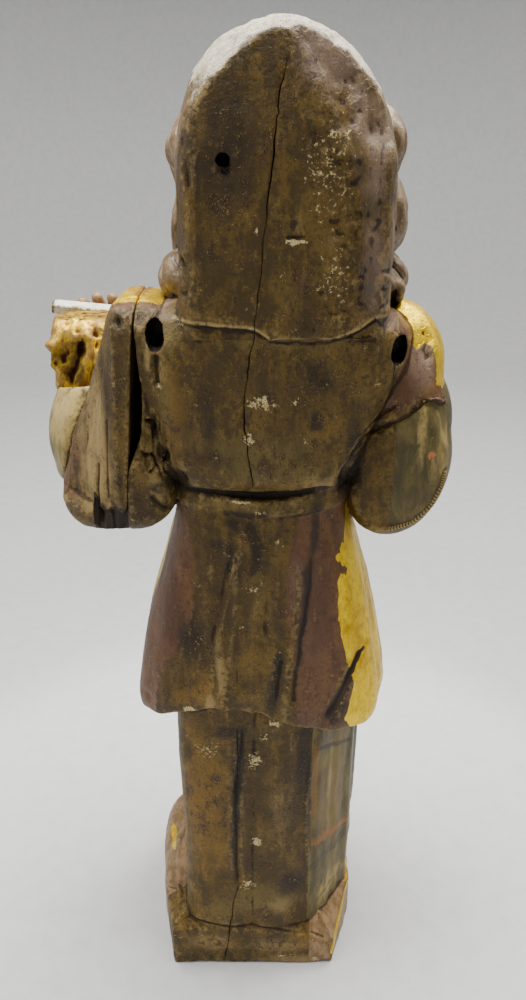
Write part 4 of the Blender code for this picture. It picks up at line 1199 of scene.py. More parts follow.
def breakCutter():
    # upright slices (y, z) along x: a ragged top edge, sloping in to the broken face
    rows = armMarks["broken"]
    x = np.linspace(rows[0][0], rows[-1][0], 70)
    top, = borders(x, rows)
    here = np.column_stack([x, x * 0, x * 0])
    top = top + 0.0007 * noise(here, 0.0022, 55, 2)
    inner = armMarks["brokenTo"] + 0.0020 * noise(here, 0.004, 56, 2)
    outside, below = 0.080 + 0 * x, 0.360 + 0 * x
    rings = [(inner + 0.004, top - 0.0035), (inner + 0.012, top - 0.0012), (outside, top + 0.0010),
             (outside, below), (inner, below), (inner, top - 0.009)]
    return np.stack([np.column_stack([x, y, z]) for y, z in rings], axis=1)


def shapedArm():
    obj, edges, weights = blockOf("carvedArm", leftArmForms(), arm["voxel"])
    mesh = obj.data
    points = relaxed(getPoints(mesh), edges, 3, 0.65 - 0.35 * weights["flesh"])
    setPoints(mesh, points)
    normals = getNormals(mesh)
    x, y, z = points.T
    back = rise(normals[:, 1], 0.1, 0.5) * weights["arm"]
    ridge, _ = lineDistance(points, armMarks["ridge"])
    depth = toolMarks(points, 1 - 0.7 * weights["flesh"])
    depth += 0.0008 * back * bell(ridge, 0.0030)
    ridgeX, = borders(z, armMarks["foot"])
    depth -= armMarks["slope"] * back * np.clip(x - ridgeX, 0, 0.030) * rise(z, 0.392, 0.400)
    for path, width, deep in armMarks["lines"]:
        away, share = lineDistance(points, path)
        depth += back * deep * bell(away, width) * rise(share, 0, 0.1) * rise(1 - share, 0, 0.1)
    middle, half, deep = armMarks["pit"]
    depth -= deep * bell(np.linalg.norm((points - middle) / half, axis=1), 1.0) * rise(normals[:, 1], 0, 0.4)
    crumpling = 0.0007 * (0.6 - 2 * np.abs(noise(points, 0.010, 54))) + 0.0003 * noise(points, 0.004, 62)
    depth += weights["cuff"] * crumpling
    points = points + normals * depth[:, None]
    keep = np.maximum(points[:, 0], jointX(points[:, 2]))
    points[:, 0] = np.where(weights["arm"] > 0.5, keep, points[:, 0])
    chipEdges(mesh, points, normals, edges, 57, 1 - weights["flesh"], 0.0006)
    sunk = np.zeros(len(points))
    angle = np.arctan2(y - arm["wrist"][1], x - arm["wrist"][0])
    for place, middle, wide, tall, _ in arm["hollows"]:
        reach, _ = hollowReach(angle, z, place, middle, wide, tall)
        sunk = np.maximum(sunk, rise(1.15 - reach, 0, 0.35))
    # the cuff's hollows marked to be painted dark, as shade
    setField(mesh, "sunkInShade", 0.62 * sunk * weights["cuff"])
    keptFields(mesh, weights, edges)
    thinned(obj, arm["triangles"] // fewer)
    cut(obj, [luteSeat(lute["play"]), breakCutter()])
    mesh = obj.data
    x, y, z = getPoints(mesh).T
    rows = np.array(armMarks["broken"])
    top = np.interp(x, rows[:, 0], rows[:, 1], left=0, right=0)
    # the broken face under the elbow painted dark, as the shadow in its recess
    laidBare = (z < top + 0.0010) & (y > armMarks["brokenTo"] - 0.003)
    setField(mesh, "sunkInShade", np.maximum(getField(mesh, "sunkInShade"), laidBare))
    print("arm carved:", len(obj.data.vertices), "points")
    return obj


lute = {
    "voxel": 0.00055,
    "triangles": 40000,
    "end": (0.1360, -0.0550, 0.4980),      # broken end of the neck
    "root": (0.0520, -0.0620, 0.4857),
    "length": 0.094,
    "halfWidth": 0.0310,
    "bowl": 0.0200,
    "pear": [  # share of the length from the neck, half width and bowl depth as shares of the largest
        (0.00, 0.24, 0.34), (0.10, 0.36, 0.48), (0.25, 0.60, 0.72), (0.42, 0.85, 0.92), (0.60, 0.99, 1.00),
        (0.72, 0.98, 0.98), (0.84, 0.84, 0.86), (0.94, 0.56, 0.60), (1.00, 0.20, 0.26),
    ],
    "rose": (0.42, 0.0125),                # share of the length, radius
    "bridge": (0.80, 0.0170),              # share of the length, half width
    "strings": 5,
    "face": 0.0055,                        # how far the belly stands out from the neck's line
    "play": 0.0005,                        # room left round it in the arm and the figure
}


def luteAxes():
    # unit vectors along the neck towards the left hand, across the belly, and out of the belly
    along = np.array(lute["end"]) - np.array(lute["root"])
    along /= np.linalg.norm(along)
    out = np.array((0.15, -1.0, 0.28))
    out -= out.dot(along) * along
    out /= np.linalg.norm(out)
    return along, np.cross(out, along), out


def luteBowl(spare, steps, around):
    # half a pear: rings of a half ellipse behind and the flat belly in front
    along, across, out = luteAxes()
    share = (1 - np.cos(np.linspace(0, 1, steps) * math.pi)) / 2
    half, deep = throughRows(share, lute["pear"]).T
    wide = (half * lute["halfWidth"] + spare)[:, None, None]
    down = (deep * lute["bowl"] + spare)[:, None, None]
    front = np.array(lute["root"]) + out * lute["face"]
    middle = front - along * (share * lute["length"] + (2 * share - 1) * spare)[:, None]
    turn = np.linspace(0, math.pi, around)[None, :, None]
    bowl = middle[:, None] + across * np.cos(turn) * wide - out * (np.sin(turn) * down + 0.0015)
    flat = np.linspace(1, -1, around)[None, :, None]
    belly = middle[:, None] + out * (0.0006 + spare) - across * flat * wide
    return np.concatenate([bowl, belly], axis=1)


def luteNeck(spare, steps, around):
    along, _, out = luteAxes()
    root, end = np.array(lute["root"]), np.array(lute["end"])
    path = [root - along * 0.018, (root + end) / 2, end + along * spare]
    sizes = [(w + spare, h + spare) for w, h in ((0.0066, 0.0066), (0.0046, 0.0056), (0.0034, 0.0052))]
    return carried(path, sizes, steps, around, up=tuple(out), crispness=6.0)


def luteSeat(spare):
    # the bowl and neck a little larger, as one cutter
    obj = fused("luteSeat", [("body", luteBowl(spare, 50, 40)), ("neck", luteNeck(spare, 40, 40))], 0.0012)
    thinned(obj, 6000)
    return obj


def shapedLute():
    forms = [("body", luteBowl(0, 90, 60)), ("neck", luteNeck(0, 90, 60))]
    obj = fused("carvedLute", forms, lute["voxel"] * coarser)
    mesh = obj.data
    edges = getEdges(mesh)
    points = relaxed(getPoints(mesh), edges, 2, 0.5)
    setPoints(mesh, points)
    normals = getNormals(mesh)
    along, across, out = luteAxes()
    local = points - (np.array(lute["root"]) + out * lute["face"])
    s, u, h = -local @ along / lute["length"], local @ across, local @ out
    belly = rise(normals @ out, 0.7, 0.95) * rise(h, -0.002, 0.0)
    place, radius = lute["rose"]
    reach = np.hypot((s - place) * lute["length"], u)
    turn = np.arctan2(u, (s - place) * lute["length"])
    rosette = np.cos(turn * 8) * np.cos(reach / radius * 3.1 * math.pi)
    depth = -belly * 0.0011 * rise(radius - reach, 0, 0.0006) * (0.55 + 0.45 * rise(rosette, -0.3, 0.3))
    depth += belly * 0.0005 * bell(reach - radius - 0.0008, 0.0007)
    foot, half = lute["bridge"]
    tied = rise(half - np.abs(u), 0, 0.003)
    depth += belly * 0.0016 * bell((s - foot) * lute["length"] / 0.0018, 1.0) * tied
    # strings carved as fine ridges, drawing together up the neck
    onStrings = rise(foot - s, 0, 0.01) * rise(normals @ out, 0.5, 0.9)
    spread = 0.0025 + 0.0085 * np.clip(s, 0, 1)
    for k in range(lute["strings"]):
        place = (k / (lute["strings"] - 1) * 2 - 1) * spread
        depth += onStrings * 0.00042 * bell(u - place, 0.00042)
    ribs = np.abs(np.cos(np.arctan2(h + 0.0015, u) * 9 / 2))
    depth += (1 - belly) * rise(s, 0.02, 0.1) * 0.0004 * (ribs**0.6 - 0.6)
    depth += 0.00012 * noise(points, 0.003, 71) + 0.0002 * noise(points, 0.012, 72)
    setPoints(mesh, points + normals * depth[:, None])
    # white paint whole on the neck, worn on the belly, gone from the bowl; the rose is painted dark, as shade
    # in its hole
    rubbed = 1 - 0.65 * rise(-s, 0.83, 0.90)
    setField(mesh, "pale", 0.10 + 0.90 * rise(0.04 - s, 0, 0.04) * rubbed + 0.36 * belly * rise(s, 0.0, 0.04))
    setField(mesh, "sunkInShade", 0.75 * belly * rise(radius - reach, 0, 0.0008) * (1 - rise(rosette, -0.3, 0.3)))
    setEdges(mesh, edges)
    thinned(obj, lute["triangles"] // fewer)
    print("lute carved:", len(obj.data.vertices), "points")
    return obj


# fields: where each finish lies, from 0 to 1 at every point; the material breaks their edges up

finish = {
    "raw": metres([  # height, then how far left and right the bare back reaches
        (0, 800, -445), (1000, 800, -445), (1700, 800, -420), (2260, 800, -490), (2380, 800, -420),
        (2420, 660, -310), (2757, 600, -290), (2982, 497, -270), (3245, 370, -230), (3614, 355, -230),
        (3960, 393, -300), (4030, 700, -750), (4400, 1300, -710), (4700, 1300, -820), (4970, 1300, -900),
        (5060, 1300, -830), (5160, 460, -660), (5300, 410, -600), (5700, 385, -580), (6000, 340, -500),
        (6200, 260, -400), (6380, 100, -320), (6480, -60, -240), (6520, -140, -200),
    ]),
    "skirtGold": metres([  # height, then the leaf's left and right borders across the back of the skirt
        (2260, 740, -729), (2467, 710, -633), (2660, 690, -670), (2752, 680, -688), (2820, 670, -656),
        (3001, 640, -611), (3177, 600, -576), (3349, 575, -556), (3514, 545, -549), (3540, 540, -600),
        (3560, 535, -614), (3590, 530, -590), (3657, 515, -531), (3776, 490, -587), (4000, 470, -600),
    ]),
    "shoulderGold": metres([  # distance to the right, the leaf's lower border
        (760, 5150), (843, 5100), (867, 5050), (905, 4990), (958, 4920), (1008, 4955), (1050, 4958),
        (1080, 4900), (1095, 4740), (1130, 4700),
    ]),
    "piping": metres(hemLine),
    "goldSplit": 5,  # the streak that runs through the leaf of the skirt
    "goldLine": metres([(-778, 360), (-740, 314), (-707, 270), (-668, 217), (-640, 165), (-632, 100)]),
    "blobs": {  # ovals: x, height, half width, half height in tenths of a millimetre, strength in hundredths
        "dark": [
            (100, 5950, 240, 330, 55), (0, 6200, 200, 60, 45), (230, 4600, 60, 330, 55),
            (180, 4300, 60, 140, 50), (-381, 4585, 50, 50, 120), (-330, 4760, 40, 120, 40),
            (90, 3640, 60, 160, 70), (200, 3770, 140, 50, 60), (-180, 3500, 50, 300, 50),
            (400, 3120, 120, 240, 75), (-130, 2620, 42, 130, 80), (120, 2840, 130, 130, 35),
            (430, 4150, 110, 80, 120), (-600, 4170, 90, 110, 130), (-350, 2050, 50, 340, 70),
            (-300, 880, 150, 150, 70), (110, 1900, 45, 500, 80), (-150, 2300, 280, 60, 60),
            (150, 2340, 160, 60, 80), (-290, 250, 240, 40, 50), (-620, 4330, 60, 260, 90),
            (560, 4120, 70, 50, 80), (600, 3980, 40, 120, 50), (-400, 2300, 200, 90, 70),
            (-230, 5640, 30, 26, 120), (-320, 6040, 30, 60, 50), (-620, 5350, 60, 180, 60),
            (537, 4490, 30, 60, 110), (485, 4322, 30, 70, 90), (820, 4500, 40, 500, 50),
            (780, 4200, 30, 200, 50), (-480, 6330, 100, 100, 40), (-270, 4000, 200, 40, 40),
            (-140, 2700, 40, 160, 60), (250, 5500, 100, 160, 35), (370, 4550, 130, 300, 48),
            (-400, 4830, 200, 160, 52), (-450, 5750, 120, 400, 25), (1100, 3930, 120, 90, 45),
        ],
        "grey": [
            (-100, 4290, 420, 110, 90), (-50, 4400, 340, 120, 80), (-180, 5030, 500, 35, 70),
            (-100, 4040, 480, 55, 70), (40, 3550, 120, 280, 40), (-100, 2300, 220, 80, 50),
            (-80, 700, 280, 200, 90), (250, 560, 260, 120, 60), (-50, 3400, 100, 300, 50),
            (-100, 2700, 160, 200, 45), (440, 5080, 80, 120, 100), (470, 4700, 60, 240, 90),
            (560, 4400, 50, 140, 80), (-250, 5300, 300, 200, 30), (150, 300, 300, 100, 40),
            (-100, 1300, 180, 250, 40),
        ],
        "ochre": [
            (420, 4600, 110, 340, 80), (-420, 5750, 100, 340, 30), (-200, 5900, 80, 250, 20),
            (-620, 1500, 180, 900, 80), (350, 1600, 220, 700, 85), (400, 2300, 100, 200, 60),
            (420, 3600, 80, 300, 70), (300, 2700, 140, 200, 70), (480, 2600, 120, 140, 80),
            (-60, 4050, 60, 30, 90), (-350, 3000, 60, 300, 60), (60, 1450, 300, 300, 30),
            (300, 250, 240, 120, 60), (-400, 250, 200, 120, 70), (-500, 4550, 120, 140, 40),
            (340, 6100, 60, 180, 40), (300, 5700, 60, 260, 50),
        ],
        "fleck": [
            (-400, 5900, 220, 400, 70), (-460, 5400, 160, 300, 68), (500, 4260, 60, 130, 70),
            (-160, 5760, 140, 300, 35), (-220, 5560, 100, 16, 130), (-50, 5610, 50, 22, 100),
            (-400, 5330, 100, 80, 70), (-70, 4700, 150, 60, 110), (-280, 4700, 80, 24, 110),
            (0, 4480, 60, 50, 100), (-300, 4480, 120, 120, 55), (-80, 4260, 80, 60, 70),
            (-70, 3990, 60, 24, 110), (-170, 3790, 60, 60, 90), (0, 3480, 100, 44, 90),
            (350, 3500, 80, 16, 100), (60, 3200, 60, 30, 80), (-180, 3000, 100, 40, 70),
            (420, 2540, 60, 40, 120), (-150, 2400, 70, 30, 130), (310, 2180, 140, 110, 80),
            (450, 2280, 40, 80, 60), (-20, 2080, 70, 110, 100), (-100, 2280, 80, 60, 80),
            (-30, 1300, 70, 70, 110), (40, 860, 80, 70, 100), (-150, 1550, 200, 300, 35),
            (-500, 40, 140, 30, 120), (-250, 80, 120, 40, 80), (500, 4780, 24, 120, 80),
            (-720, 4790, 50, 50, 80), (-350, 5030, 200, 20, 60), (0, 5120, 80, 30, 70),
            (450, 4390, 40, 40, 50), (-480, 5800, 120, 140, 65), (-510, 6060, 60, 80, 60),
            (-330, 5860, 70, 100, 60), (-450, 5150, 120, 80, 60), (60, 4060, 100, 16, 120),
        ],
        "tan": [
            (537, 4174, 80, 130, 90), (580, 4528, 40, 70, 90), (-990, 4850, 90, 200, 90),
            (1070, 4400, 110, 400, 110), (1060, 4000, 100, 100, 60), (920, 4300, 110, 480, 120),
            (350, 240, 300, 130, 60), (-180, 210, 300, 130, 70), (960, 4000, 120, 120, 70),
            (850, 4000, 100, 60, 90), (200, 2900, 35, 260, 90), (100, 3550, 30, 200, 60),
            (270, 2600, 40, 120, 90), (100, 4120, 300, 50, 50), (-400, 4200, 140, 80, 60),
            (560, 4950, 30, 160, 60), (-300, 40, 300, 60, 90), (-200, 640, 200, 120, 50),
            (-220, 1600, 120, 400, 50), (-460, 2000, 16, 400, 70), (520, 2400, 200, 100, 40),
            (-220, 2560, 30, 200, 60),
        ],
        # silver lustre, and painted highlights: the band down the right sleeve's back and the streak down the
        # robe's side
        "silverAndSheen": [
            (1150, 4420, 260, 240, 95), (1220, 4100, 120, 240, 60), (-1130, 4350, 80, 300, 50),
            (-1015, 4520, 34, 260, 70), (-1060, 3990, 110, 80, 40), (-570, 1750, 22, 500, 60),
            (-600, 600, 140, 160, 85),
        ],
        "mauve": [
            (-400, 6400, 150, 150, 120), (-550, 6180, 60, 180, 100), (-640, 5950, 60, 300, 90),
            (-640, 5400, 80, 300, 80), (560, 6000, 60, 300, 70), (570, 5500, 60, 300, 60),
            (-980, 4850, 100, 180, 90), (480, 5150, 100, 60, 60), (-560, 280, 140, 60, 80),
            (-300, 3550, 90, 300, 50),
        ],
        "loss": [
            (-1070, 4334, 50, 24, 100), (-1130, 4268, 40, 22, 90), (-1165, 4400, 10, 120, 80),
        ],
        "violet": [
            (520, 3250, 110, 500, 90), (-430, 3300, 110, 600, 90), (-600, 2500, 100, 140, 100),
            (-370, 2100, 50, 240, 80), (-930, 4700, 110, 130, 90), (-300, 880, 140, 140, 60),
            (800, 5030, 80, 100, 60), (-450, 6320, 120, 140, 80), (160, 4550, 60, 300, 30),
        ],
    },
    "streaks": [  # path of (x, height) and half width in tenths of a millimetre, strength: dark laid along it
        (tieLine, 26, 1.5),
        ([(160, 3990), (58, 3973), (-62, 3963), (-152, 3971)], 16, 1.1),
        ([(160, 3936), (59, 3880), (-1, 3887), (-43, 3777), (-37, 3644), (0, 3570)], 34, 0.9),
        ([(-410, 4062), (-393, 3783), (-360, 3565), (-346, 3318), (-318, 3100), (-314, 2860)], 38, 0.9),
        ([(-189, 3038), (-159, 2802), (-140, 2560)], 36, 0.8),
        ([(-740, 2985), (-698, 2905), (-653, 2816), (-609, 2706), (-555, 2590), (-500, 2480)], 34, 1.4),
        ([(-620, 2640), (-570, 2520), (-540, 2440)], 80, 0.8),
        ([(63, 2431), (79, 2217), (75, 1952), (99, 1723), (117, 1472), (142, 1235), (138, 956)], 34, 0.8),
        ([(-390, 2300), (-400, 1900), (-400, 1300)], 30, 0.6),
        ([(-650, 4500), (-580, 4300), (-570, 4120)], 60, 0.9),
        # painted shade along the crack over the right shoulder
        ([(-820, 4870), (-818, 4798), (-814, 4685), (-786, 4604), (-755, 4530), (-738, 4479)], 9, 1.7),
    ],
}


def blobField(points, blobs):
    # the strongest of several soft ovals, their edges wandering with noise
    wander = 0.22 * noise(points, 0.012, 81, 2, stretch=(1, 1, 0.6))
    total = np.zeros(len(points))
    for x, z, wide, tall, strength in np.array(blobs) / (10000, 10000, 10000, 10000, 100):
        away = np.hypot((points[:, 0] - x) / wide, (points[:, 2] - z) / tall)
        total = np.maximum(total, strength * bell(np.clip(away + wander, 0, None), 1.0))
    return total


def setFinish(obj):
    mesh = obj.data
    points, normals = getPoints(mesh), getNormals(mesh)
    x, y, z = points.T

    def weight(name):
        found = mesh.attributes.get("w_" + name)
        return getField(mesh, "w_" + name) if found else np.zeros(len(x))

    # bare wood behind
    left, right = borders(z, finish["raw"])
    soft = 0.002 + 0.006 * rise(z, 0.245, 0.26) * rise(0.40 - z, 0, 0.01)
    sides = rise(left - x, -soft, soft) * rise(x - right, -soft, soft)
    deepest = np.where(z > 0.60, figure["backPlane"] - 0.16 * (z - 0.60) - 0.006, 0.048)
    raw = sides * rise(y - deepest, -0.012, 0.002) * rise(normals[:, 1], -0.5, 0.0)
    sleeved = np.clip(weight("sleeve") + weight("cuff") + weight("piping"), 0, 1)
    raw = raw * (1 - sleeved) * (1 - weight("lump"))
    sleeveRaw = weight("sleeve") * rise(x + 0.0860, -0.004, 0.004) * rise(-x, 0, 0.01) * rise(y, 0.030, 0.045)
    raw = np.maximum(raw, sleeveRaw)
    bared = 0.58 + 0.42 * rise(0.104 - x, -0.004, 0.004)
    armBack = weight("arm") * rise(y, 0.016, 0.030) * bared
    armBack = armBack * rise(0.128 - x, -0.002, 0.003) * rise(0.520 - z, 0, 0.004)
    raw = np.maximum(raw, armBack)
    raw = np.maximum(raw, rise(0.0006 - z, 0, 0.0004))

    # leaf
    left, right = borders(z, finish["skirtGold"])
    onLeft = rise(x - left, -0.001, 0.001) * rise(0.036 - y, 0, 0.006)
    beyond = np.maximum(rise(right - x, -0.001, 0.001), onLeft)
    gold = weight("tunic") * np.maximum(beyond, rise(0.028 - y, 0, 0.004)) * rise(z, 0.229, 0.233)
    band, share = lineDistance(points, metres(finish["streaks"][finish["goldSplit"]][0]))
    gold = gold * (1 - rise(0.0034 * (0.3 + share) - band, -0.0004, 0.0004) * rise(y, 0.02, 0.04))
    border = borders(-x, finish["shoulderGold"])[0] + 0.0015 * noise(points, 0.005, 82)
    onShoulder = weight("shoulder") * np.maximum(rise(z - border, -0.0008, 0.0008), rise(0.004 - y, 0, 0.006))
    line, _ = lineDistance(points, finish["goldLine"])
    gold = np.maximum.reduce([
        gold,
        onShoulder,
        weight("torso") * rise(0.020 - y, 0, 0.008),
        weight("belt") * rise(0.010 - y, 0, 0.008) * 0.9,
        np.clip(weight("cuff") + weight("collar"), 0, 1),
        weight("arm") * rise(z, 0.517, 0.520) * rise(0.050 - y, 0, 0.006),
        weight("arm") * rise(0.006 - y, 0, 0.008) * rise(z, 0.41, 0.43) * 0.95,
        bell(line, 0.0018) * rise(y, 0.0, 0.02) * weight("plinth") * 1.4,
        weight("lump") * bell(np.hypot(x - 0.066, z - 0.075), 0.0030) * 1.3,
        weight("piping") * (0.5 + 0.35 * np.sin((x - z) * 2600)),
        weight("plinth") * bell(z - 0.040, 0.0016) * rise(0.040 - y, 0, 0.02) * 0.9,
    ])

    # glaze, flesh and hair paint
    robeSide = weight("robe") * np.maximum(rise(-0.0425 - x, -0.001, 0.001), rise(0.035 - y, 0, 0.006))
    glaze = np.clip(weight("sleeve") + robeSide, 0, 1) * (1 - sleeveRaw)
    flesh = np.clip(weight("face") + weight("flesh") + weight("foot"), 0, 1)
    hairPaint = np.maximum(weight("hair"), rise(z, 0.495, 0.506) * rise(x, 0.026, 0.034) * weight("torso"))

    # blotches of colour, all but the silver and its painted highlights on the back only
    setField(mesh, "nearBack", rise(y, 0.035, 0.060) * rise(normals[:, 1], -0.2, 0.5))
    back = rise(y, 0.020, 0.045)
    wander = noise(points, 0.010, 84, 2)
    for name, blobs in finish["blobs"].items():
        values = blobField(points, blobs) * (back if name != "silverAndSheen" else 1)
        if name == "dark":
            for path, width, strength in finish["streaks"]:
                away, share = lineDistance(points, metres(path))
                ends = rise(share, -0.08, 0.1) * rise(1 - share, -0.08, 0.1)
                along = bell(away + 0.0010 * wander, metres(width))
                values = np.maximum(values, strength * along * ends * back)
        setField(mesh, name, values)
    onBack = (y > 0.060) & (x > backMarks["step"][0][0]) & (x < 0.043)
    setField(mesh, "toStep", np.where(onBack, z - throughRows(x, backMarks["step"])[:, 0], 0.1))
    setField(mesh, "back", rise(y, 0.012, 0.024) * rise(normals[:, 1], -0.1, 0.3))
    # pale dust, and painted light from above, on the faces of the crown that look up, a little on its
    # right-hand slope too
    facet = 0.25 * rise(normals[:, 2], 0.15, 0.45) * rise(-x, 0.020, 0.045)
    upward = np.maximum(rise(normals[:, 2], 0.26, 0.62), facet)
    setField(mesh, "dustAndTopLight", upward * rise(y, -0.05, 0.045) * rise(z, 0.605, 0.630))
    away, share = lineDistance(points, finish["piping"])
    onSleeve = (y > 0.025) & (weight("sleeve") + weight("piping") > 0.2)
    setField(mesh, "pipeAway", np.where(onSleeve, away, 0.05))
    setField(mesh, "pipeRun", share * (len(finish["piping"]) - 1))
    setField(mesh, "w_hand", weight("flesh"))
    ground = weight("plinth") + weight("lump")
    for name, values in {
        "raw": raw, "gold": gold, "glaze": glaze, "flesh": flesh, "hairPaint": hairPaint, "ground": ground,
    }.items():
        setField(mesh, name, np.clip(values, 0, 1))
    spent = [name for name in mesh.attributes.keys() if name.startswith("w_")]
    for name in spent:
        if name not in ("w_cuff", "w_hand"):
            mesh.attributes.remove(mesh.attributes[name])


def setFaceColours(mesh, points):
    # lips and cheeks a little redder, brows and lids darker: a field from -1 (dark) to 1 (red)
    c, s = math.cos(-figure["headTurn"]), math.sin(-figure["headTurn"])
    local = (points - figure["headCentre"]) @ np.array([(c, s, 0), (-s, c, 0), (0, 0, 1)])
    x, y, z = np.abs(local[:, 0]), local[:, 1], local[:, 2]
    front = rise(-y, 0.02, 0.035)
    lips = rise(1.0 - np.hypot(x / 0.0115, (z + 0.0358) / 0.0052), 0, 0.25)
    cheeks = 0.45 * bell(np.hypot(x - 0.023, z + 0.019), 0.010)
    side, height, wide, tall = face["eye"]
    u, v = (x - side) / wide, (z - height) / tall
    arch = np.sqrt(np.clip(1 - u**2, 0, None))
    lash = bell(v - arch, 0.16) * rise(1.05 - np.abs(u), 0, 0.1)
    brow = bell(z - 0.0128 + 7 * (x - 0.016) ** 2, 0.0011) * rise(0.0115 - np.abs(x - 0.0170), 0, 0.003)
    iris = rise(0.0034 - np.hypot(x - side, z - height), 0, 0.0005) * rise(0.9 * arch - np.abs(v), 0, 0.1)
    pupil = rise(0.0015 - np.hypot(x - side, z - height), 0, 0.0004)
    white = rise(0.9 * arch - np.abs(v), 0, 0.1) * rise(1 - np.abs(u), 0, 0.05)
    setField(mesh, "red", (lips + cheeks) * front)
    setField(mesh, "line", np.clip(lash * 0.9 + brow * 0.7 + iris * 0.7 + pupil, 0, 1) * front)
    setField(mesh, "white", np.clip(white - iris, 0, 1) * front)


# materials

class Shade:
    # wraps a node's output: arithmetic makes Math nodes and node() makes any other kind
    def __init__(self, tree, socket=None):
        self.tree, self.socket = tree, socket

    def node(self, kind, settings=(), inputs=(), output=0):
        # settings come first, because some of them change which sockets there are
        made = self.tree.nodes.new(kind)
        for name, value in dict(settings).items():
            setattr(made, name, value)
        for name, value in dict(inputs).items():
            if isinstance(value, Shade):
                self.tree.links.new(value.socket, made.inputs[name])
            else:
                made.inputs[name].default_value = value
        return Shade(self.tree, made.outputs[output] if len(made.outputs) else None)

    def math(self, operation, *values):
        return self.node("ShaderNodeMath", {"operation": operation}, enumerate(values))

    def __add__(self, other):
        return self.math("ADD", self, other)

    def __sub__(self, other):
        return self.math("SUBTRACT", self, other)

    def __rsub__(self, other):
        return self.math("SUBTRACT", other, self)

    def __mul__(self, other):
        return self.math("MULTIPLY", self, other)

    __radd__, __rmul__ = __add__, __mul__

    def atLeast(self, other):
        return self.math("MAXIMUM", self, other)

    def field(self, name):
        return self.node("ShaderNodeAttribute", {"attribute_name": name}, {}, "Fac")

    def between(self, low, high):
        # 0 below low, 1 above high, smooth between
        return self.node("ShaderNodeMapRange", {"interpolation_type": "SMOOTHSTEP"},
                         {"Value": self, "From Min": low, "From Max": high}, "Result")

    def scaled(self, x, y, z):
        return self.node("ShaderNodeVectorMath", {"operation": "MULTIPLY"}, {0: self, 1: (x, y, z)})

    def grains(self, scale, detail=3.0, roughness=0.55, distortion=0.0):
        return self.node("ShaderNodeTexNoise", {}, {"Vector": self, "Scale": scale, "Detail": detail,
                                                    "Roughness": roughness, "Distortion": distortion}, "Fac")

    def cells(self, scale, feature="F1", output="Distance"):
        return self.node("ShaderNodeTexVoronoi", {"feature": feature},
                         {"Vector": self, "Scale": scale}, output)

    def mix(self, one, two, factor, blend="MIX"):
        # from one colour to another
        return self.node("ShaderNodeMix", {"data_type": "RGBA", "blend_type": blend},
                         {0: factor, 6: one, 7: two}, 2)

    def mixed(self, other, factor):
        # this colour with another over it
        return self.mix(self, other, factor)

    def tinted(self, other, factor):
        return self.mix(self, other, factor, "MULTIPLY")

    def toned(self, one, two, factor):
        # from one named colour to another
        return self.mix(colours[one], colours[two], factor)

    def layered(self, *layers):
        # named colours laid one after another over this one, each by its mask
        colour = self
        for name, mask in layers:
            colour = colour.mixed(colours[name], mask)
        return colour

    def blend(self, one, two, factor):
        # the same for plain numbers
        return self.node("ShaderNodeMix", {"data_type": "FLOAT"}, {0: factor, 2: one, 3: two}, 0)

    def blended(self, other, factor):
        return self.blend(self, other, factor)

    def patches(self, name, grain, low, high):
        # 1 where a field lies, its border broken up by a grain
        return (self.field(name) + grain * 0.9 - 0.5).between(low, high)

    def stroke(self, start, end, half, wander):
        # 1 on a brush stroke between two places (x, height) of the back, at most half either side of the line
        length = math.dist(start, end)
        run = [(e - b) / length for b, e in zip(start, end)]
        x, z = (self.node("ShaderNodeSeparateXYZ", {}, {0: self}, axis) for axis in (0, 2))
        along = x * run[0] + z * run[1] - (start[0] * run[0] + start[1] * run[1])
        across = z * run[0] - x * run[1] - (start[1] * run[0] - start[0] * run[1]) + wander * (half * 3)
        inside = (across * across).between(2.2 * half**2, 0.4 * half**2)
        return inside * along.between(-half, half) * along.between(length + half, length - half)


def rgb(red, green, blue):
    # a colour as it looks on a screen, 0 to 255, made linear
    def linear(value):
        value /= 255
        return value / 12.92 if value <= 0.04045 else ((value + 0.055) / 1.055) ** 2.4
    return (linear(red), linear(green), linear(blue), 1.0)


colours = {
    "wood": rgb(62, 46, 9),
    "woodLight": rgb(99, 77, 24),
    "woodDeep": rgb(33, 22, 5),
    "ochre": rgb(132, 98, 26),
    "tan": rgb(156, 132, 82),
    "russet": rgb(82, 46, 18),
    "dark": rgb(24, 14, 5),
    "grey": rgb(102, 88, 42),
    "bole": rgb(102, 70, 38),
    "boleDark": rgb(74, 45, 23),
    "boleWorn": rgb(130, 104, 58),
    "violet": rgb(66, 40, 28),
    "gold": rgb(224, 190, 24),
    "goldDeep": rgb(190, 153, 14),
    "goldGround": rgb(112, 68, 28),
    "cuffGold": rgb(172, 142, 82),
    "glaze": rgb(98, 85, 40),
    "glazeDark": rgb(62, 53, 24),
    "glazeLight": rgb(142, 126, 78),
    "glazeLoss": rgb(170, 108, 74),
    "silverAndSheen": rgb(164, 142, 84),
    "piping": rgb(150, 122, 50),
    "pipingDark": rgb(60, 42, 14),
    "hair": rgb(100, 80, 56),
    "hairLight": rgb(140, 118, 92),
    "hairShade": rgb(58, 42, 28),
    "flesh": rgb(198, 158, 114),
    "fleshDark": rgb(168, 124, 82),
    "lips": rgb(160, 74, 52),
    "ink": rgb(46, 28, 16),
    "eye": rgb(214, 204, 172),
    "gesso": rgb(216, 200, 150),
    "dustAndTopLight": rgb(196, 186, 164),
    "mauve": rgb(112, 92, 78),
    "ground": rgb(146, 114, 82),
    "groundDark": rgb(110, 88, 50),
    "pale": rgb(214, 210, 196),
    "paleWorn": rgb(176, 166, 138),
    "olive": rgb(112, 100, 26),
    "orange": rgb(148, 88, 34),
    "green": rgb(52, 50, 24),
}
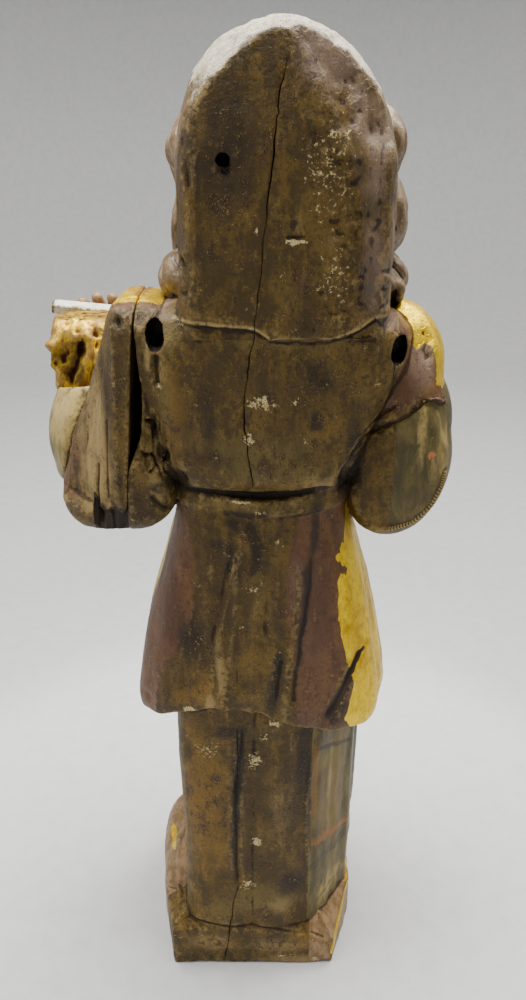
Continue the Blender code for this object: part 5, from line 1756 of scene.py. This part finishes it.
strokes = [  # paint left on the robe's side: from, to (x, height), half width, colour, strength
    ((-0.0470, 0.2130), (-0.0740, 0.1930), 0.0014, "dark", 0.7),
    ((-0.0486, 0.2000), (-0.0610, 0.1900), 0.0055, "olive", 0.7),
    ((-0.0455, 0.1218), (-0.0597, 0.1174), 0.0036, "orange", 0.7),
    ((-0.0600, 0.1150), (-0.0760, 0.1085), 0.0020, "orange", 0.7),
    ((-0.0431, 0.0935), (-0.0519, 0.0985), 0.0036, "green", 0.8),
    ((-0.0519, 0.0985), (-0.0760, 0.0970), 0.0044, "green", 0.8),
    ((-0.0490, 0.0540), (-0.0660, 0.0590), 0.0016, "green", 0.6),
    ((-0.0450, 0.1500), (-0.0460, 0.2150), 0.0016, "orange", 0.35),
]


def carvedMaterial(name):
    # old layers: stained wood, bole, glaze, leaf, flesh and hair paint, then losses, gesso crumbs and dirt
    material = bpy.data.materials.new(name)
    material.use_nodes = True
    tree = material.node_tree
    tree.nodes.clear()
    s = Shade(tree)
    place = s.node("ShaderNodeTexCoord", {}, {}, "Object")
    alongGrain = place.scaled(1, 1, 0.07)
    halfGrain = place.scaled(1, 1, 0.35)

    broad = place.grains(26, 4, 0.62)
    middle = place.grains(85, 4, 0.62)
    clump = place.scaled(1, 1, 0.6).grains(150, 5, 0.68, 0.3)
    small = place.grains(360, 4, 0.68)
    tiny = place.grains(1300, 3, 0.62)
    fibre = alongGrain.grains(1000, 4, 0.7)
    patch = halfGrain.grains(55, 5, 0.68, 0.6)
    edge = s.field("edge")
    sharp = edge.between(0.10, 0.60)
    hollow = (edge * -1).between(0.15, 0.85)

    # bare wood
    tone = s.toned("wood", "woodLight", (patch * 0.4 + clump * 0.35 + small * 0.25).between(0.45, 0.58))
    tone = tone.layered(
        ("ochre", s.patches("ochre", middle, 0.10, 0.80) * 0.55),
        ("grey", s.patches("grey", patch, 0.10, 0.80) * 0.60),
        ("tan", s.patches("tan", clump, 0.15, 0.80) * 0.72),
        ("russet", (broad * 0.4 + clump * 0.6).between(0.53, 0.61) * 0.55),
        ("woodDeep", (broad * 0.35 + clump * 0.35 + small * 0.30).between(0.50, 0.59) * 0.80),
        ("violet", s.patches("violet", clump, 0.20, 0.80) * 0.65),
    )
    mauve = s.patches("mauve", clump, 0.15, 0.80)
    tone = tone.mixed(colours["mauve"], mauve * 0.75)
    # stains, and dark along the streaks, one of which is painted shade along a crack
    stainAndShade = (s.field("dark") + middle * 0.6 + clump * 0.6 + small * 0.25 - 0.82).between(0.05, 0.60)
    tone = tone.layered(
        ("dark", stainAndShade * 0.82),
        # proud ridges lighter: worn pale, and a painted highlight
        ("tan", sharp * (small * 0.5 + clump * 0.5).between(0.44, 0.60) * 0.40),
        ("ochre", (small * 0.5 + tiny * 0.5).between(0.54, 0.62) * clump.between(0.42, 0.6) * 0.7),
        ("tan", (clump * 0.35 + tiny * 0.65).between(0.60, 0.66) * 0.6),
        ("dark", (small * 0.55 + tiny * 0.45).between(0.45, 0.38) * 0.6),
    )
    tone = tone.tinted((0.50, 0.42, 0.30, 1), fibre.between(0.56, 0.72) * 0.35)

    # the lip under the hair, worn pale and with a painted highlight, and painted shadow in the gaps below it
    toStep = s.field("toStep") + (clump - 0.5) * 0.003
    lip = toStep.between(-0.0004, 0.0004) * toStep.between(0.0024, 0.0010) * small.between(0.36, 0.52)
    tone = tone.mixed(colours["tan"], lip * 0.75)
    gapShadow = toStep.between(-0.0024, -0.0015) * toStep.between(-0.0002, -0.0009) * patch.between(0.44, 0.54)
    tone = tone.mixed(colours["dark"], gapShadow * 0.9)

    # painted ground
    bole = s.toned("bole", "boleDark", (patch * 0.5 + clump * 0.5).between(0.40, 0.60))
    bole = bole.layered(
        ("boleWorn", (clump * 0.4 + small * 0.6).between(0.54, 0.66) * 0.6),
        ("boleWorn", (s.field("tan") + clump * 0.9 - 0.55).between(0.10, 0.80) * 0.8),
        ("mauve", mauve * 0.8),
        ("violet", (s.field("violet") + middle - 0.55).between(0.1, 0.8) * 0.6),
        ("dark", (s.field("dark") + middle * 0.5 + clump * 0.5 - 0.70).between(0.1, 0.7) * 0.75),
        ("dark", (small * 0.5 + tiny * 0.5).between(0.46, 0.40) * 0.6),
    )
    bole = bole.mixed(s.toned("ground", "groundDark", clump.between(0.40, 0.60)), s.field("ground"))
    paint = ((1 - s.field("raw")) + (middle - 0.5) * 0.9 + (small - 0.5) * 0.6).between(0.40, 0.62)
    worn = (sharp * 0.7 + small * 0.8 - 0.4).between(0.42, 0.62)
    paint = paint * (1 - worn * 0.75)
    colour = tone.mixed(bole, paint)
    rough = s.blend(0.56, 0.44, paint) + (small - 0.5) * 0.45

    # coloured glaze over silver, with painted highlights where the silver shows
    brushed = place.scaled(1, 1, 0.25).grains(140, 4, 0.6, 0.4)
    glazeColour = s.toned("glaze", "glazeDark", patch.between(0.38, 0.62))
    swept = brushed.between(0.52, 0.70) * (1 - s.field("back") * 0.6)
    glazeColour = glazeColour.mixed(colours["glazeLight"], swept * 0.45)
    folds = place.scaled(1, 1, 0.35).grains(190, 4, 0.6, 0.5)
    # silver showing through the glaze, partly painted highlights down the sleeve and the robe's side
    silverAndSheen = (s.field("silverAndSheen") + folds * 1.6 - 0.90).between(0.1, 0.8)
    glazeColour = glazeColour.layered(
        ("silverAndSheen", silverAndSheen * 0.85),
        ("ochre", s.patches("ochre", middle, 0.15, 0.75) * 0.4),
    )
    for start, end, half, paintName, strength in strokes:
        mask = place.stroke(start, end, half, clump - 0.5) * s.field("back") * clump.between(0.30, 0.50)
        glazeColour = glazeColour.mixed(colours[paintName], mask * strength)
    glazeColour = glazeColour.mixed(colours["dark"], (small * 0.6 + tiny * 0.4).between(0.44, 0.37) * 0.5)
    lost = (small * 0.45 + middle * 0.85 + sharp * 0.15 + s.field("loss") * 0.45).between(0.99, 1.03)
    glazeColour = glazeColour.mixed(colours["glazeLoss"], lost)
    away = s.field("pipeAway")
    cord = away.between(0.0021, 0.0014)
    twist = s.math("SINE", s.field("pipeRun") * 42 + away * 1400).between(-0.5, 0.5)
    # painted shade in a dark band beside the cord
    glazeColour = glazeColour.mixed(colours["dark"], away.between(0.0034, 0.0020) * 0.7)
    glazeColour = glazeColour.mixed(s.toned("piping", "pipingDark", twist), cord * 0.9)
    glaze = (s.field("glaze") + (small - 0.5) * 0.3).between(0.42, 0.58)
    colour = colour.mixed(glazeColour, glaze)
    rough = rough.blended((brushed - 0.5) * 0.3 + 0.44 + s.field("back") * 0.10 + lost * 0.3, glaze)

    # hair paint
    hairColour = s.toned("hair", "hairLight", clump.between(0.38, 0.62))
    hairColour = hairColour.layered(
        # painted shade in the grooves of the hair
        ("hairShade", hollow * 0.85),
        ("violet", patch.between(0.45, 0.7) * 0.4),
    )
    hairColour = hairColour.mixed(tone, s.field("nearBack") * 0.8)
    hairOver = s.field("hairPaint") * (1 - s.field("raw")) + (middle - 0.5) * 0.8 + (small - 0.5) * 0.4
    hairOver = hairOver.between(0.30, 0.80) * (1 - worn * 0.5)
    colour = colour.mixed(hairColour, hairOver)
    rough = rough.blended(0.46 + (small - 0.5) * 0.4, hairOver)

    # flesh
    skin = s.toned("flesh", "fleshDark", (middle * 0.6 + small * 0.4).between(0.42, 0.60))
    skin = skin.layered(
        ("lips", s.field("red").between(0.05, 0.9) * 0.75),
        ("eye", s.field("white") * 0.45),
        ("ink", s.field("line") * 0.85),
        # a reddish painted shade in the creases of the flesh
        ("lips", hollow * 0.25),
        ("wood", s.patches("w_hand", clump, 0.25, 0.85) * 0.6),
    )
    flesh = (s.field("flesh") + (small - 0.5) * 0.25).between(0.42, 0.58)
    fleshLost = (middle * 0.7 + small * 0.6 + sharp * 0.08).between(0.91, 0.95)
    skin = skin.mixed(colours["gesso"], fleshLost)
    colour = colour.mixed(skin, flesh)
    rough = rough.blended(0.42 + (small - 0.5) * 0.3, flesh)

    # leaf, rubbed through to its red ground on proud places
    leaf = s.toned("gold", "goldDeep", (patch * 0.5 + clump * 0.5).between(0.40, 0.62))
    gold = (s.field("gold") + (small - 0.5) * 0.22 + (middle - 0.5) * 0.12).between(0.47, 0.53)
    inFront = 1 - s.field("back")
    rubbed = sharp * (inFront * 0.14 + 0.12) + middle * 0.60 + small * 0.60 + inFront * 0.10
    onCuff = s.field("w_cuff")
    rubbed = rubbed.between(0.88, 0.93) * (1 - onCuff * 0.6)
    leaf = leaf.mixed(colours["cuffGold"], onCuff * (small * 0.5 + clump * 0.5).between(0.40, 0.56) * 0.85)
    leafOn = gold * (1 - rubbed)
    colour = colour.mixed(colours["goldGround"], gold * rubbed)
    # grime, and painted shade in the leaf's hollows
    grimeAndShade = hollow * 0.9 + (small * 0.6 + tiny * 0.4).between(0.54, 0.66) * 0.6
    leaf = leaf.tinted((0.42, 0.29, 0.16, 1), grimeAndShade)
    # painted shade in the cuff's hollows and creases
    sunk = (edge * -1).between(0.0, 0.5) * 0.9 + clump.between(0.46, 0.58) * 0.5
    leaf = leaf.tinted((0.42, 0.30, 0.17, 1), onCuff * (sunk * 0.8 + 0.25))
    leaf = leaf.tinted((0.62, 0.50, 0.34, 1), (broad * 0.5 + clump * 0.5).between(0.46, 0.60) * 0.45)
    colour = colour.mixed(leaf, leafOn)
    metallic = leafOn * 0.72
    rough = rough.blended(0.40 + (small - 0.5) * 0.4 + hollow * 0.2, leafOn)

    # pale worn paint
    chipped = (sharp * 0.3 + small * 0.7).between(0.62, 0.70) * 0.8
    pale = (s.field("pale") + (small - 0.5) * 0.3).between(0.40, 0.55) * (1 - chipped)
    colour = colour.mixed(s.toned("pale", "paleWorn", (patch * 0.5 + small * 0.5).between(0.42, 0.62)), pale)
    rough = rough.blended(0.55, pale)

    # gesso crumbs and losses, dirt and painted shade in hollows, dust and painted top light on what faces up
    crumbs = (s.field("fleck") * 0.50 + small * 0.70 + place.grains(620, 2, 0.6) * 0.50).between(0.97, 1.02)
    bare = s.field("raw")
    loose = (middle * 0.5 + small * 0.5 + tiny * 0.4).between(0.83, 0.87) * bare * 0.8
    atEdge = (sharp * 0.42 + small * 0.62 + middle * 0.35).between(1.00, 1.06)
    atEdge = atEdge * (1 - gold * 0.6) * (1 - bare * 0.8)
    gesso = crumbs.atLeast(loose).atLeast(atEdge * 0.9)
    colour = colour.mixed(s.toned("gesso", "ochre", tiny.between(0.42, 0.66)), gesso * 0.85)
    metallic = metallic * (1 - gesso)
    rough = rough.blended(0.75, gesso)
    # dirt, and painted shade, darkening the hollows
    dirtAndShade = (hollow + (clump - 0.5) * 0.6).between(0.15, 0.85) * (1 - flesh * 0.75)
    colour = colour.tinted((0.18, 0.12, 0.07, 1), dirtAndShade * 0.8)
    # painted shade in cracks, sockets, the hole, insect tunnels, the cuff's hollows, the broken elbow and the
    # lute's rose
    colour = colour.tinted((0.07, 0.045, 0.025, 1), s.field("sunkInShade").between(0.2, 0.9) * 0.92)
    # pale dust and painted top light laid where the crown faces up
    dustAndTopLit = (s.field("dustAndTopLight") + clump * 0.9 + small + tiny * 0.9 - 1.58).between(0.05, 0.95)
    dustAndTopLit = dustAndTopLit * (1 - gold) * (1 - s.field("sunkInShade")) * ((small + tiny).between(0.92, 1.15) * 0.45 + 0.55)
    colour = colour.mixed(colours["dustAndTopLight"], dustAndTopLit * 0.88)
    rough = rough + dirtAndShade * 0.15 + dustAndTopLit * 0.15

    # relief finer than the mesh
    height = fibre * 0.12 * (1 - flesh) + small * (bare * 0.60 + 0.28)
    height = height + tiny * 0.16 + clump * bare * 0.9 + middle * bare * 0.5
    height = height - gold * 0.22 * small + gesso * 0.30 + paint * 0.20 + gold * 0.05 - worn * 0.12
    pits = halfGrain.cells(420).between(0.16, 0.05) * middle.between(0.55, 0.65)
    height = height - pits * 0.6 * bare
    bump = s.node("ShaderNodeBump", {}, {"Strength": 1.0, "Distance": 0.0011, "Height": height}, "Normal")
    coat = (glaze * (1 - s.field("back") * 0.7) * 0.14 + hairOver * 0.10) * (1 - gesso)
    surface = s.node("ShaderNodeBsdfPrincipled", {}, {
        "Base Color": colour, "Roughness": rough, "Metallic": metallic, "Coat Weight": coat,
        "Coat Roughness": 0.30, "IOR": 1.45, "Specular IOR Level": 0.32, "Normal": bump,
    })
    s.node("ShaderNodeOutputMaterial", {}, {"Surface": surface})
    return material


# the pieces

figureLook = shapedFigure()
armLook = shapedArm()
luteLook = shapedLute()
carved = carvedMaterial("old_gilded_wood")
for look, node, slotName in (
    (figureLook, "angel_figure", "log_wood"),
    (armLook, "left_arm", "arm_wood"),
    (luteLook, "lute", "lute_wood"),
):
    setFinish(look)
    setFaceColours(look.data, getPoints(look.data))
    look.data.shade_smooth()
    look.data.materials.clear()
    look.data.materials.append(carved)
    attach(look, "root")
    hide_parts(node)
print("finishes set")


# the stage: a pale floor that curves up to a wall all round, painted in soft bands of light and shade, soft
# light from above, a weak fill behind

stage = {
    "radius": 2.4,       # out to the wall
    "curve": 0.7,
    "wallTop": 2.3,
    "paintedLightAndShade": [  # metres from the middle along the floor and up the wall, how light it is painted, in bands of painted light and shade
        (0.00, 0.60), (0.34, 0.60), (0.42, 0.48), (0.60, 0.46), (1.00, 0.52),
        (1.70, 0.66), (2.60, 0.60), (3.40, 0.42), (5.00, 0.30),
    ],
}


def sweepMesh():
    # floor, quarter circle and wall as one profile (r, z), turned about the upright axis:
    # r*cos(a), r*sin(a), z
    bend, flat = stage["curve"], stage["radius"] - stage["curve"]
    floor = np.linspace(0, 1, 60)[1:] ** 1.5 * flat
    turn = np.linspace(0, math.pi / 2, 24)[1:]
    wall = np.linspace(bend, stage["wallTop"], 20)[1:]
    r = np.concatenate([floor, flat + bend * np.sin(turn), np.full(len(wall), stage["radius"])])
    z = np.concatenate([floor * 0, bend - bend * np.cos(turn), wall]) - 0.0004
    around = 96
    angle = np.arange(around) * fullTurn / around
    r2, z2 = r[:, None], z[:, None]
    points = np.stack([r2 * np.cos(angle), r2 * np.sin(angle), z2 + 0 * angle], axis=2)
    points = np.concatenate([points.reshape(-1, 3), [(0, 0, z[0])]])
    here = np.arange(around)
    after = (here + 1) % around
    ring = (np.arange(len(r) - 1) * around)[:, None]
    a, b, c, d = (ring + k for k in (here, after, around + after, around + here))
    sides = [np.stack([a, d, b], 2).reshape(-1, 3), np.stack([b, d, c], 2).reshape(-1, 3)]
    middle = np.stack([here * 0 + len(points) - 1, here, after], 1)
    obj = newMesh("sweep", points, np.concatenate([*sides, middle]))
    along = np.cumsum(np.hypot(np.diff(r, prepend=0), np.diff(z, prepend=z[0])))
    setField(obj.data, "along", np.append(np.repeat(along, around), 0))
    obj.data.shade_smooth()
    return obj


sweep = sweepMesh()
paper = bpy.data.materials.new("paper_painted_light_and_shade")
paper.use_nodes = True
paper.node_tree.nodes.clear()
s = Shade(paper.node_tree)
place = s.node("ShaderNodeTexCoord", {}, {}, "Object")
longest = stage["paintedLightAndShade"][-1][0]
# painted light and shade along the floor and up the wall
paintedLightAndShade = s.node("ShaderNodeValToRGB", {}, {"Fac": s.field("along") * (1 / longest)}, "Color")
ramp = paintedLightAndShade.socket.node.color_ramp
for reach, light in stage["paintedLightAndShade"][1:-1]:
    ramp.elements.new(reach / longest)
for stop, (reach, light) in zip(ramp.elements, stage["paintedLightAndShade"]):
    stop.position, stop.color = reach / longest, (light, light, light * 0.985, 1)
speck = place.grains(60, 3, 0.6)
paintedLightAndShade = paintedLightAndShade.tinted((0.93, 0.93, 0.93, 1), speck.between(0.35, 0.75))
fine = place.grains(1500, 2, 0.6)
bump = s.node("ShaderNodeBump", {}, {"Strength": 0.15, "Distance": 0.0002, "Height": fine}, "Normal")
surface = s.node("ShaderNodeBsdfPrincipled", {}, {
    "Base Color": paintedLightAndShade, "Roughness": 0.55 + speck * 0.15, "Normal": bump,
})
s.node("ShaderNodeOutputMaterial", {}, {"Surface": surface})
sweep.data.materials.append(paper)


def softLight(name, place, target, width, height, power, tint=(1, 1, 1)):
    light = bpy.data.lights.new(name, "AREA")
    light.shape, light.size, light.size_y = "RECTANGLE", width, height
    light.energy, light.color = power, tint
    obj = bpy.data.objects.new(name, light)
    bpy.context.scene.collection.objects.link(obj)
    obj.location = place
    obj.rotation_euler = (Vector(target) - Vector(place)).to_track_quat("-Z", "Y").to_euler()
    obj.visible_camera = False


softLight("top_light", (0.0, -0.12, 1.55), (0, -0.05, 0.2), 1.2, 0.7, 66)
softLight("right_light", (-0.85, -0.50, 1.40), (0, 0, 0.45), 0.6, 0.6, 10.5, (1.0, 0.98, 0.95))
softLight("left_light", (1.15, 0.05, 0.9), (0, 0, 0.35), 0.7, 1.0, 7)
softLight("fill_light", (0.1, 1.10, 0.30), (0, 0, 0.15), 1.2, 0.5, 2.6, (1.0, 0.97, 0.92))

world = bpy.data.worlds.new("room")
bpy.context.scene.world = world
world.use_nodes = True
world.node_tree.nodes["Background"].inputs["Color"].default_value = (1.0, 0.98, 0.94, 1)
world.node_tree.nodes["Background"].inputs["Strength"].default_value = 0.19

camera = {"place": (-0.008, 0.4975, 0.609), "down": math.radians(25), "lens": 28.8}
view = bpy.data.objects.new("view", bpy.data.cameras.new("view"))
bpy.context.scene.collection.objects.link(view)
view.location = camera["place"]
aim = Vector((0, -math.cos(camera["down"]), -math.sin(camera["down"])))
view.rotation_euler = aim.to_track_quat("-Z", "Y").to_euler()
view.data.lens, view.data.sensor_width = camera["lens"], 36
bpy.context.scene.camera = view
print("stage set")
